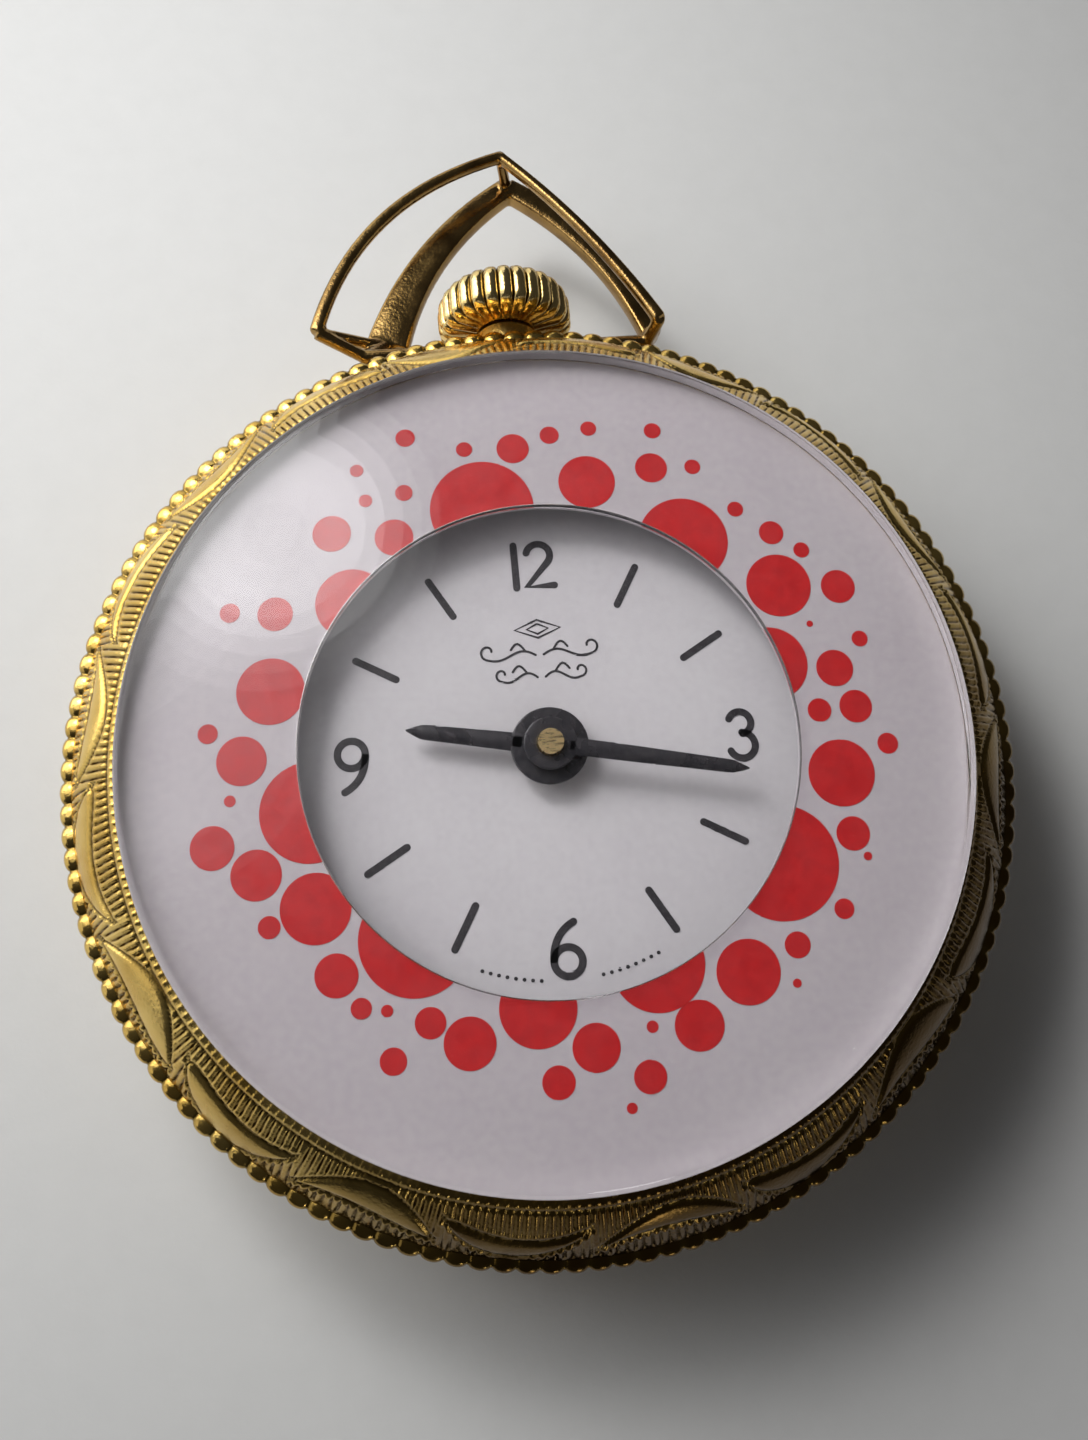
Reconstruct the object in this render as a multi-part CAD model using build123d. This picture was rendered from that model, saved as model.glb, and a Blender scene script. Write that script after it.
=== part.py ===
from build123d import *
import os
from math import atan2, cos, degrees, hypot, radians, sin

os.makedirs("parts", exist_ok=True)

# A pendant (fob) watch, millimetres. The dial axis is Z and the dial faces +Z.
# +Y points to twelve o'clock, where the crown and the bow are. The flat of the
# case back rests at z = 0 with its centre at the origin.

# ---- driving dimensions: case ----
RIM_RADIUS = 18.0
BEZEL_EDGE_RADIUS = 15.2
BEZEL_EDGE_Z = 8.8
RIM_Z = 6.1
RIM_HALF_HEIGHT = 0.4
RIM_ROUNDING = 0.25
BEZEL_SLOPE_START = (17.5, 6.55)
BAND_RADIUS = 17.2
BAND_BOTTOM = 2.4
BAND_TOP = 5.6
BACK_FLAT_RADIUS = 12.5
BACK_THICKNESS = 0.6
BACK_OUTER_CURVE = ((14.6, 0.5), (16.1, 1.4))
BACK_RIM_RADIUS = 16.75
LIP_INNER_RADIUS = 14.9
THUMB_NOTCH = (3.0, 1.6, 0.3)
THUMB_NOTCH_Y = -17.2
BAND_BOTTOM_RADIUS = 16.8
BAND_CHAMFER_Z = 3.6
SNAP_RADIUS = 15.4
SNAP_TOP = 3.2
BORE_RADIUS = 15.2
CRYSTAL_RADIUS = 15.0
RING_FOOT_Z = 6.6
CRYSTAL_TOP_Z = 11.4
CRYSTAL_SHOULDER_Z = 10.05
CRYSTAL_WALL_TOP = 9.4
CRYSTAL_SHOULDER_RADIUS = 14.5
APERTURE_RADIUS = 8.8
APERTURE_CEILING_Z = 8.2
PRINT_Z = 7.85
PRINT_THICKNESS = 0.2
CARRIER_RIM_RADIUS = 14.7
LEDGE_RADIUS = 14.3
SHOULDER_CREST = (14.85, 9.86)
RIM_FLAT_HALF = 0.15
RIM_FOOT_RADIUS = 17.3
BACK_INNER_CURVE = ((14.0, 1.5), (12.3, 0.6))

# ---- driving dimensions: crown, pendant and bow ----
STEM_Z = 5.0
CROWN_RADIUS = 2.85
CROWN_START = 18.55
CROWN_END = 20.6
CROWN_FLUTES = 28
FLUTE_DEPTH = 0.22
CROWN_END_STEP = 0.3
CROWN_BOSS_STEP = 0.35
CROWN_BOSS_LENGTH = 0.12
STEM_GRIP = 1.6
TUBE_RADIUS = 1.3
TUBE_BORE = 0.62
TUBE_START = 15.6
TUBE_END = 18.45
BOW_PIVOT_Y = 17.95
BOW_PIN_RADIUS = 0.34
BOW_PIN_START = 0.95
BOW_ELBOW_X = 6.0
BOW_BACK_Z = 4.0
BOW_FRONT_Z = 6.0
BOW_BACK_RAIL = 0.52
BOW_FRONT_RAIL = 0.28
BOW_APEX_BACK = (0.75, 26.75)
BOW_APEX_FRONT = (0.4, 26.7)
BOW_FEET_BACK = ((-5.1, 19.0), (6.5, 18.9))
BOW_FEET_FRONT = ((-7.9, 18.6), (6.5, 18.4))
BOW_BACK_BULGES = (0.85, 0.85)
BOW_FRONT_BULGES = (1.6, 0.5)

# ---- driving dimensions: movement ----
PLATE_RADIUS = 11.65
PLATE_BOTTOM = 4.5
PLATE_TOP = 5.2
WALL_INNER_RADIUS = 10.9
DIAL_BOTTOM = 5.9
DIAL_TOP = 6.3
DIAL_RADIUS = 11.5
BRIDGE_BOTTOM = 1.3
BRIDGE_TOP = 2.1
BRIDGE_RADIUS = 11.2
RING_BOTTOM = 3.3
RING_RADIUS = 15.1
RUNNING_GAP = 0.03
SEAT_GAP = 0.02
PIVOT_RADIUS = 0.15
ARBOR_RADIUS = 0.25
PIVOT_LENGTH = 0.1

# Stem and its pinions, along the stem's axis from the square's pivot outwards.
STEM_RADIUS = 0.5
STEM_NECK_RADIUS = 0.25
STEM_SQUARE_HALF = 0.29
STEM_PIVOT_RADIUS = 0.15
STEM_PIVOT_START, SQUARE_START, SHAFT_START = 5.15, 5.6, 7.95
CLUTCH_RADIUS, CLUTCH_GROOVE_RADIUS = 0.57, 0.46
CLUTCH_Y, CLUTCH_GROOVE_Y = (6.35, 7.9), (6.75, 7.15)
WINDING_TIP_RADIUS, WINDING_ROOT_RADIUS = 0.84, 0.57
WINDING_TOOTH_LENGTH = 0.42

# Barrel, winding wheels and click.
DRUM_RADIUS, DRUM_INNER_RADIUS = 4.35, 4.1
DRUM_CORE_RADIUS, SPRING_CORE_RADIUS = 0.5, 0.95
BARREL_PIVOT_RADIUS = 0.4
MAINSPRING_Z = (2.8, 3.48)
CROWN_WHEEL_POST_RADIUS = 0.45
CLICK_Z = (3.95, 4.35)
CLICK_POST_RADIUS = 0.3

# Escapement, balance and regulator.
LEVER_HUB_RADIUS, LEVER_SHAFT_RADIUS = 0.3, 0.2
BALANCE_RADIUS, BALANCE_RIM_INNER = 3.6, 3.15
BALANCE_ARM_Z = (2.2, 2.42)
STAFF_RADIUS, STAFF_SHOULDER_RADIUS = 0.2, 0.36
ROLLER_RADIUS = 1.1
REGULATOR_HUB_RADIUS, REGULATOR_BORE = 0.85, 0.4
REGULATOR_TAIL_END = 2.9
REGULATOR_PIN_RADII = (1.25, 1.47)
CLAMP_HALF_WIDTH = 0.8

# Teeth: height above and below the pitch circle in modules, and half widths
# as fractions of the tooth pitch.
ADDENDUM = 0.75
DEDENDUM = 1.15
ROOT_HALF = 0.22
TIP_HALF = 0.08

# Going train: barrel 78 to centre pinion 10, centre 64 to third pinion 8,
# third 60 to fourth pinion 8, fourth 70 to escape pinion 7.
BARREL_TEETH, CENTRE_LEAVES, BARREL_MODULE = 78, 10, 0.12
CENTRE_TEETH, THIRD_LEAVES, CENTRE_MODULE = 64, 8, 0.10
THIRD_TEETH, FOURTH_LEAVES, THIRD_MODULE = 60, 8, 0.09
FOURTH_TEETH, ESCAPE_LEAVES, FOURTH_MODULE = 70, 7, 0.075
ESCAPE_TEETH, ESCAPE_RADIUS = 15, 1.9
# Winding: crown wheel 30 to ratchet 36, driven by a winding pinion of 8.
CROWN_WHEEL_TEETH, RATCHET_TEETH, WINDING_MODULE = 30, 36, 0.19
WINDING_TEETH = 8
# Motion work: cannon 10 to minute wheel 30, minute pinion 8 to hour wheel 32.
CANNON_LEAVES, MINUTE_TEETH, MINUTE_LEAVES, HOUR_TEETH = 10, 30, 8, 32
SETTING_TEETH, MOTION_MODULE = 20, 0.10

# ---- hands ----
HOUR_HAND_Z = 7.0
HOUR_HAND_THICKNESS = 0.16
HOUR_HAND_LENGTH = 5.15
HOUR_HAND_ANGLE = 281.0
MINUTE_HAND_Z = 7.45
MINUTE_HAND_THICKNESS = 0.14
MINUTE_HAND_LENGTH = 7.1
MINUTE_HAND_ANGLE = 102.0
HAND_HUB_RADIUS = 1.4
MINUTE_HUB_RADIUS = 0.95
HAND_TIP_WIDTH = 0.04
# Each hand's width at its root, its widest, and how far out that is.
HOUR_HAND_WIDTHS = (0.66, 0.54, 4.6)
MINUTE_HAND_WIDTHS = (0.62, 0.46, 6.5)
CANNON_RADIUS = 0.46
CENTRE_POST_RADIUS = 0.24
CENTRE_SHAFT_RADIUS = 0.3
CANNON_TOP = 7.9
HOUR_PIPE_BORE = 0.50
HOUR_PIPE_RADIUS = 0.72
HOUR_PIPE_TOP = 7.2


def polar(radius, angle, centre=(0, 0)):
    """The point at a radius and an angle in degrees from a centre."""
    return (centre[0] + radius * cos(radians(angle)), centre[1] + radius * sin(radians(angle)))


def heading(start, end):
    """The direction in degrees from one plan point to another."""
    return degrees(atan2(end[1] - start[1], end[0] - start[0]))


def disc(radius, bottom, top, centre=(0, 0)):
    """An upright cylinder."""
    upright = (Align.CENTER, Align.CENTER, Align.MIN)
    return Pos(centre[0], centre[1], bottom) * Cylinder(radius, top - bottom, align=upright)


def ring(outer, inner, bottom, top, centre=(0, 0)):
    """An upright tube."""
    return disc(outer, bottom, top, centre) - disc(inner, bottom - 1, top + 1, centre)


def along_y(radius, start, end):
    """A cylinder on the stem's axis."""
    return Pos(0, (start + end) / 2, STEM_Z) * Rot(90, 0, 0) * Cylinder(radius, end - start)


def block(x_range, y_range, z_range):
    """A box between pairs of limits."""
    middle = [sum(limits) / 2 for limits in (x_range, y_range, z_range)]
    size = [limits[1] - limits[0] for limits in (x_range, y_range, z_range)]
    return Pos(*middle) * Box(*size)


def lathe(*points):
    """A solid turned about the dial axis from its section's (radius, z) points."""
    section = make_face(Polyline(*[(r, 0, z) for r, z in points], close=True))
    return revolve(section, Axis.Z)


def bar(start, end, width, bottom, top):
    """A flat link with round ends between two plan points."""
    length = hypot(end[0] - start[0], end[1] - start[1])
    middle = ((start[0] + end[0]) / 2, (start[1] + end[1]) / 2)
    turn = heading(start, end)
    link = Pos(middle[0], middle[1], (bottom + top) / 2) * Rot(0, 0, turn) * Box(length, width, top - bottom)
    return link + disc(width / 2, bottom, top, start) + disc(width / 2, bottom, top, end)


def strut(start, end, radius):
    """A round bar between two points in space, with ball ends."""
    line = Line(start, end)
    shaft = sweep(Plane(start, z_dir=Vector(*end) - Vector(*start)) * Circle(radius), path=line)
    return shaft + Pos(*start) * Sphere(radius) + Pos(*end) * Sphere(radius)


def tooth_outline(teeth, tip, root, phase):
    """The plan outline of a toothed disc whose first tooth stands at phase degrees."""
    step = 360 / teeth
    corners = ((root, -ROOT_HALF), (tip, -TIP_HALF), (tip, TIP_HALF), (root, ROOT_HALF))
    return [polar(radius, phase + step * (tooth + offset))
            for tooth in range(teeth) for radius, offset in corners]


def gear(teeth, module, centre, phase, bottom, top):
    """A spur wheel with a tooth at phase degrees."""
    pitch_radius = teeth * module / 2
    outline = tooth_outline(teeth, pitch_radius + ADDENDUM * module, pitch_radius - DEDENDUM * module, phase)
    plate = extrude(make_face(Polyline(*outline, close=True)), top - bottom)
    return Pos(centre[0], centre[1], bottom) * plate


def mating_phase(teeth, centre, phase, other_teeth, other_centre):
    """The phase that puts a second wheel in mesh with a first."""
    line = heading(centre, other_centre)
    reached = (line - phase) * teeth / 360
    return line + 180 - (0.5 - reached) * 360 / other_teeth


def spoked(wheel, centre, inner, outer, bottom, top, spokes):
    """A wheel opened between its hub and its rim, leaving straight spokes."""
    window = ring(outer, inner, bottom - 1, top + 1, centre)
    for spoke in range(spokes):
        end = polar(outer + 1, 360 / spokes * spoke, centre)
        window -= bar(centre, end, inner * 0.5, bottom - 2, top + 2)
    return wheel - window


def half_ring(radius, thickness, centre, facing, bottom, top, sweep_angle=180):
    """Part of a ring that starts at facing - 90 degrees and runs anticlockwise."""
    start = facing - 90
    inner, outer = radius - thickness / 2, radius + thickness / 2
    middle, end = start + sweep_angle / 2, start + sweep_angle
    outline = [
        ThreePointArc(polar(outer, start, centre), polar(outer, middle, centre), polar(outer, end, centre)),
        Line(polar(outer, end, centre), polar(inner, end, centre)),
        ThreePointArc(polar(inner, end, centre), polar(inner, middle, centre), polar(inner, start, centre)),
        Line(polar(inner, start, centre), polar(outer, start, centre)),
    ]
    return Pos(0, 0, bottom) * extrude(make_face(outline), top - bottom)


def spiral(centre, facing, first_radius, pitch, turns, thickness, bottom, top, last_sweep=180):
    """A flat spring of half rings: those on the facing side share the centre."""
    side = facing + 90
    spring = None
    for turn in range(turns):
        radius = first_radius + turn * pitch
        front = half_ring(radius, thickness, centre, facing, bottom, top)
        rear_sweep = last_sweep if turn == turns - 1 else 180
        rear_centre = polar(-pitch / 2, side, centre)
        rear = half_ring(radius + pitch / 2, thickness, rear_centre, facing + 180, bottom, top, rear_sweep)
        spring = front + rear if spring is None else spring + front + rear
    return spring


# ---- plan positions of the movement ----
CENTRE = (0.0, 0.0)
CROWN_WHEEL_RADIUS = CROWN_WHEEL_TEETH * WINDING_MODULE / 2
RATCHET_RADIUS = RATCHET_TEETH * WINDING_MODULE / 2
WINDING_PINION_Y = 8.5
CROWN_WHEEL_AT = (0.0, WINDING_PINION_Y - CROWN_WHEEL_RADIUS)
BARREL_REACH = (BARREL_TEETH + CENTRE_LEAVES) * BARREL_MODULE / 2
WINDING_REACH = CROWN_WHEEL_RADIUS + RATCHET_RADIUS
# The barrel stands where its two centre distances meet, left of the stem.
BARREL_Y = (BARREL_REACH ** 2 - WINDING_REACH ** 2 + CROWN_WHEEL_AT[1] ** 2) / (2 * CROWN_WHEEL_AT[1])
BARREL_AT = (-(BARREL_REACH ** 2 - BARREL_Y ** 2) ** 0.5, BARREL_Y)
THIRD_AT = polar((CENTRE_TEETH + THIRD_LEAVES) * CENTRE_MODULE / 2, -30)
FOURTH_AT = polar((THIRD_TEETH + FOURTH_LEAVES) * THIRD_MODULE / 2, -110, THIRD_AT)
ESCAPE_AT = polar((FOURTH_TEETH + ESCAPE_LEAVES) * FOURTH_MODULE / 2, 200, FOURTH_AT)
BALANCE_AT = (-5.2, -5.0)
LEVER_LINE = heading(ESCAPE_AT, BALANCE_AT)
LEVER_AT = polar(2.1, LEVER_LINE, ESCAPE_AT)
MOTION_REACH = (CANNON_LEAVES + MINUTE_TEETH) * MOTION_MODULE / 2
MINUTE_AT = polar(MOTION_REACH, 75)
SETTING_REACH = (MINUTE_TEETH + SETTING_TEETH) * MOTION_MODULE / 2
SETTING_AT = polar(SETTING_REACH, 97.3, MINUTE_AT)
COCK_FOOT_AT = (-9.6, -2.0)
COCK_LINE = heading(BALANCE_AT, COCK_FOOT_AT)
REGULATOR_LINE = COCK_LINE + 180
PALLET_FOOT_AT = (-2.9, -8.6)
CLICK_AT = polar(4.9, 250, BARREL_AT)
SETTING_LEVER_AT = (4.0, 9.2)
SETTING_PEG_AT = (0.4, 9.5)
YOKE_AT = (-4.1, 6.9)
YOKE_PEG_AT = (-0.59, 6.95)
BARREL_PILLARS = [(-7.9, 6.9), (6.0, 7.5), (9.4, 2.6), (-3.2, 9.6)]
TRAIN_PILLARS = [(9.2, -0.8), (6.5, -7.5), (0.6, -9.8)]
PILLAR_RADIUS = 0.85
SCREW_RADIUS = 0.3
SCREW_DEPTH = 3.3
CLAMP_ANGLES = (45, 165, 300)
DIAL_FEET = [polar(9.6, 20), polar(9.6, 200)]

# ---- levels of the movement ----
CENTRE_WHEEL_Z = (2.25, 2.45)
DRUM_Z = (2.6, 3.7)
DRUM_TEETH_Z = (2.8, 3.25)
WINDING_Z = (3.9, 4.4)
THIRD_WHEEL_Z = (3.4, 3.55)
FOURTH_WHEEL_Z = (2.9, 3.05)
ESCAPE_Z = (3.4, 3.6)
BALANCE_Z = (2.1, 2.5)
HAIRSPRING_Z = (1.85, 2.0)
COCK_Z = (1.0, 1.6)
REGULATOR_Z = (0.75, 0.97)
MOTION_LOW_Z = (5.28, 5.5)
MOTION_HIGH_Z = (5.55, 5.75)
PALLET_COCK_Z = (2.65, 3.0)
LEVER_Z = (3.66, 3.84)
ROLLER_Z = (3.3, 3.45)
PALLET_PIN_REACH = 2.1
IMPULSE_RADIUS = 0.85
PIN_RADIUS = 0.08
MOTION_POST_RADIUS = 0.17
LEVER_POST_RADIUS = 0.25
LEVER_BOSS_RADIUS = 0.55
DIAL_FOOT_RADIUS = 0.35
WASHER_RADIUS, WASHER_BORE = 1.4, 0.8
DIAL_HOLE_RADIUS = 0.85
LEAF_THICKNESS = 0.15

# ---- tooth phases, each wheel in mesh with the one before ----
BARREL_PHASE = heading(BARREL_AT, CENTRE)
CENTRE_PINION_PHASE = mating_phase(BARREL_TEETH, BARREL_AT, BARREL_PHASE, CENTRE_LEAVES, CENTRE)
CENTRE_PHASE = heading(CENTRE, THIRD_AT)
THIRD_PINION_PHASE = mating_phase(CENTRE_TEETH, CENTRE, CENTRE_PHASE, THIRD_LEAVES, THIRD_AT)
THIRD_PHASE = heading(THIRD_AT, FOURTH_AT)
FOURTH_PINION_PHASE = mating_phase(THIRD_TEETH, THIRD_AT, THIRD_PHASE, FOURTH_LEAVES, FOURTH_AT)
FOURTH_PHASE = heading(FOURTH_AT, ESCAPE_AT)
ESCAPE_PINION_PHASE = mating_phase(FOURTH_TEETH, FOURTH_AT, FOURTH_PHASE, ESCAPE_LEAVES, ESCAPE_AT)
CROWN_WHEEL_PHASE = 90 + 180 / CROWN_WHEEL_TEETH
RATCHET_PHASE = mating_phase(CROWN_WHEEL_TEETH, CROWN_WHEEL_AT, CROWN_WHEEL_PHASE, RATCHET_TEETH, BARREL_AT)
CANNON_PHASE = heading(CENTRE, MINUTE_AT)
MINUTE_PHASE = mating_phase(CANNON_LEAVES, CENTRE, CANNON_PHASE, MINUTE_TEETH, MINUTE_AT)
SETTING_PHASE = mating_phase(MINUTE_TEETH, MINUTE_AT, MINUTE_PHASE, SETTING_TEETH, SETTING_AT)
MINUTE_PINION_PHASE = heading(MINUTE_AT, CENTRE)
HOUR_PHASE = mating_phase(MINUTE_LEAVES, MINUTE_AT, MINUTE_PINION_PHASE, HOUR_TEETH, CENTRE)


def arbor(centre, bottom=BRIDGE_BOTTOM + PIVOT_LENGTH, top=PLATE_TOP - PIVOT_LENGTH):
    """A wheel's shaft, with thin pivots where it runs in the bridge and the plate."""
    thick = disc(ARBOR_RADIUS, BRIDGE_TOP + RUNNING_GAP, PLATE_BOTTOM - RUNNING_GAP, centre)
    return thick + disc(PIVOT_RADIUS, bottom, top, centre)


def make_case_back():
    """A dished snap-on back with a flat to rest on and a lip inside the band."""
    dish = lathe((0, 0), (BACK_FLAT_RADIUS, 0), *BACK_OUTER_CURVE, (BACK_RIM_RADIUS, BAND_BOTTOM),
                 (LIP_INNER_RADIUS, BAND_BOTTOM), *BACK_INNER_CURVE, (0, BACK_THICKNESS))
    lip = ring(SNAP_RADIUS - SEAT_GAP, LIP_INNER_RADIUS, BAND_BOTTOM, SNAP_TOP)
    thumb_notch = Pos(0, THUMB_NOTCH_Y, BAND_BOTTOM - THUMB_NOTCH[2] / 2) * Box(*THUMB_NOTCH)
    return dish + lip - thumb_notch


def make_case_band():
    """The wall of the case, bored for the pendant tube."""
    wall = lathe((SNAP_RADIUS, BAND_BOTTOM), (BAND_BOTTOM_RADIUS, BAND_BOTTOM),
                 (BAND_RADIUS, BAND_CHAMFER_Z), (BAND_RADIUS, BAND_TOP), (BORE_RADIUS, BAND_TOP),
                 (BORE_RADIUS, RING_BOTTOM), (SNAP_RADIUS, RING_BOTTOM))
    return wall - along_y(TUBE_RADIUS, TUBE_START - 1, TUBE_END)


def make_bezel():
    """The bezel: a rounded rim, a 45 degree band and a ledge for the crystal, relieved over the tube."""
    rim_low, rim_high = RIM_Z - RIM_HALF_HEIGHT, RIM_Z + RIM_HALF_HEIGHT
    rim_shoulder = RIM_RADIUS - RIM_ROUNDING
    seat_radius = CRYSTAL_RADIUS + SEAT_GAP
    bezel = lathe((LEDGE_RADIUS, BAND_TOP), (RIM_FOOT_RADIUS, BAND_TOP), (rim_shoulder, rim_low),
                  (RIM_RADIUS, RIM_Z - RIM_FLAT_HALF), (RIM_RADIUS, RIM_Z + RIM_FLAT_HALF),
                  (rim_shoulder, rim_high),
                  BEZEL_SLOPE_START, (BEZEL_EDGE_RADIUS, BEZEL_EDGE_Z), (seat_radius, BEZEL_EDGE_Z),
                  (seat_radius, RING_FOOT_Z), (LEDGE_RADIUS, RING_FOOT_Z))
    return bezel - along_y(TUBE_RADIUS, TUBE_START - 2, TUBE_END + 1)


def make_crystal():
    """A thick clear crystal with a rounded shoulder, bored from below to clear the hands."""
    rise = CRYSTAL_TOP_Z - CRYSTAL_SHOULDER_Z
    dome_radius = (CRYSTAL_SHOULDER_RADIUS ** 2 + rise ** 2) / (2 * rise)
    halfway = CRYSTAL_SHOULDER_RADIUS / 2
    halfway_z = CRYSTAL_TOP_Z - dome_radius + (dome_radius ** 2 - halfway ** 2) ** 0.5
    top = ThreePointArc((CRYSTAL_SHOULDER_RADIUS, 0, CRYSTAL_SHOULDER_Z), (halfway, 0, halfway_z),
                        (0, 0, CRYSTAL_TOP_Z))
    shoulder = ThreePointArc((CRYSTAL_RADIUS, 0, CRYSTAL_WALL_TOP),
                             (SHOULDER_CREST[0], 0, SHOULDER_CREST[1]),
                             (CRYSTAL_SHOULDER_RADIUS, 0, CRYSTAL_SHOULDER_Z))
    below = Polyline((0, 0, CRYSTAL_TOP_Z), (0, 0, APERTURE_CEILING_Z),
                     (APERTURE_RADIUS, 0, APERTURE_CEILING_Z), (APERTURE_RADIUS, 0, PRINT_Z),
                     (CRYSTAL_RADIUS, 0, PRINT_Z), (CRYSTAL_RADIUS, 0, CRYSTAL_WALL_TOP))
    return revolve(make_face([shoulder, top, below]), Axis.Z)


def make_printed_ring():
    """The printed ring under the crystal, with a turned-down rim that stands on the bezel's ledge."""
    flat = ring(CRYSTAL_RADIUS, APERTURE_RADIUS, PRINT_Z - PRINT_THICKNESS, PRINT_Z)
    return flat + ring(CRYSTAL_RADIUS, CARRIER_RIM_RADIUS, RING_FOOT_Z, PRINT_Z - PRINT_THICKNESS)


def make_movement_ring():
    """The spacer that centres the movement in the case."""
    spacer = ring(RING_RADIUS, PLATE_RADIUS + SEAT_GAP, RING_BOTTOM, BAND_TOP)
    return spacer - along_y(0.9, PLATE_RADIUS - 1, RING_RADIUS + 1)


def make_pendant_tube():
    """The tube that guides the stem, with a blind hole each side for the bow's pins."""
    tube = along_y(TUBE_RADIUS, TUBE_START, TUBE_END) - along_y(TUBE_BORE, TUBE_START - 1, TUBE_END + 1)
    pin_hole = Rot(0, 90, 0) * Cylinder(BOW_PIN_RADIUS + RUNNING_GAP, 1.0)
    for side in (-1, 1):
        tube -= Pos(side * (BOW_PIN_START - RUNNING_GAP + 0.5), BOW_PIVOT_Y, STEM_Z) * pin_hole
    return tube


def bow_rail(apex, foot, z, radius, bulge):
    """One bowed leg of the bow, from its apex to a foot."""
    middle = ((apex[0] + foot[0]) / 2, (apex[1] + foot[1]) / 2)
    outward = heading(apex, foot) + (90 if foot[0] > apex[0] else -90)
    crest = polar(bulge, outward, middle)
    path = ThreePointArc((*apex, z), (*crest, z), (*foot, z))
    return sweep(Plane(path @ 0, z_dir=path % 0) * Circle(radius), path=path)


def make_bow():
    """An open bow of two pointed arches, bridged at the apex and the feet, on two pins."""
    bow = strut((*BOW_APEX_BACK, BOW_BACK_Z), (*BOW_APEX_FRONT, BOW_FRONT_Z), BOW_FRONT_RAIL)
    bow += Pos(*BOW_APEX_BACK, BOW_BACK_Z) * Sphere(BOW_BACK_RAIL)
    for side, back_foot, front_foot, back_bulge, front_bulge in zip(
            (-1, 1), BOW_FEET_BACK, BOW_FEET_FRONT, BOW_BACK_BULGES, BOW_FRONT_BULGES):
        bow += bow_rail(BOW_APEX_BACK, back_foot, BOW_BACK_Z, BOW_BACK_RAIL, back_bulge)
        bow += bow_rail(BOW_APEX_FRONT, front_foot, BOW_FRONT_Z, BOW_FRONT_RAIL, front_bulge)
        bow += Pos(*back_foot, BOW_BACK_Z) * Sphere(BOW_BACK_RAIL)
        bow += strut((*back_foot, BOW_BACK_Z), (*front_foot, BOW_FRONT_Z), BOW_FRONT_RAIL)
        elbow = (side * BOW_ELBOW_X, BOW_PIVOT_Y, STEM_Z)
        bow += strut((*back_foot, BOW_BACK_Z), elbow, BOW_PIN_RADIUS)
        bow += strut((*front_foot, BOW_FRONT_Z), elbow, BOW_FRONT_RAIL)
        pin = Rot(0, 90, 0) * Cylinder(BOW_PIN_RADIUS, BOW_ELBOW_X - BOW_PIN_START)
        bow += Pos(side * (BOW_ELBOW_X + BOW_PIN_START) / 2, BOW_PIVOT_Y, STEM_Z) * pin
    return bow


def make_crown():
    """The fluted crown, bored for the end of the stem."""
    outline = tooth_outline(CROWN_FLUTES, CROWN_RADIUS, CROWN_RADIUS - FLUTE_DEPTH, 0)
    fluted_length = CROWN_END - CROWN_START - CROWN_END_STEP - CROWN_BOSS_LENGTH
    fluted = extrude(make_face(Polyline(*outline, close=True)), fluted_length)
    body = Pos(0, CROWN_END - CROWN_END_STEP, STEM_Z) * Rot(90, 0, 0) * fluted
    body += along_y(CROWN_RADIUS - CROWN_BOSS_STEP, CROWN_START, CROWN_START + CROWN_BOSS_LENGTH)
    body += along_y(CROWN_RADIUS - CROWN_END_STEP, CROWN_END - CROWN_END_STEP, CROWN_END)
    return body - along_y(STEM_RADIUS, CROWN_START - 1, CROWN_START + STEM_GRIP)


def make_stem():
    """The stem: round in the tube, grooved for the setting lever, square for the sliding pinion."""
    shaft = along_y(STEM_RADIUS, SHAFT_START, CROWN_START + STEM_GRIP)
    shaft -= (along_y(2 * STEM_RADIUS, SETTING_PEG_AT[1] - 0.25, SETTING_PEG_AT[1] + 0.25)
              - along_y(STEM_NECK_RADIUS, SETTING_PEG_AT[1] - 1, SETTING_PEG_AT[1] + 1))
    half = STEM_SQUARE_HALF
    square = block((-half, half), (SQUARE_START, SHAFT_START), (STEM_Z - half, STEM_Z + half))
    return shaft + square + along_y(STEM_PIVOT_RADIUS, STEM_PIVOT_START, SQUARE_START)


def make_winding_pinion():
    """The winding pinion, whose lowest tooth stands in the crown wheel's teeth."""
    toothed = tooth_outline(WINDING_TEETH, WINDING_TIP_RADIUS, WINDING_ROOT_RADIUS, -90)
    plate = extrude(make_face(Polyline(*toothed, close=True)), WINDING_TOOTH_LENGTH)
    body = Pos(0, WINDING_PINION_Y + 0.25, STEM_Z) * Rot(90, 0, 0) * plate
    body += along_y(WINDING_ROOT_RADIUS, 8.0, 8.35)
    return body - along_y(STEM_RADIUS + RUNNING_GAP, 7, 10)


def make_sliding_pinion():
    """The clutch pinion: a grooved barrel with a square hole and a toothed inner end."""
    body = along_y(CLUTCH_RADIUS, *CLUTCH_Y)
    body -= along_y(1.0, *CLUTCH_GROOVE_Y) - along_y(CLUTCH_GROOVE_RADIUS, *CLUTCH_Y)
    for slot in range(6):
        notch = block((-0.08, 0.08), (6.3, 6.55), (0.45, 1.0))
        body -= Pos(0, 0, STEM_Z) * Rot(0, 60 * slot, 0) * notch
    hole = block((-0.32, 0.32), (6, 8), (STEM_Z - 0.32, STEM_Z + 0.32))
    return body - hole


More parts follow.
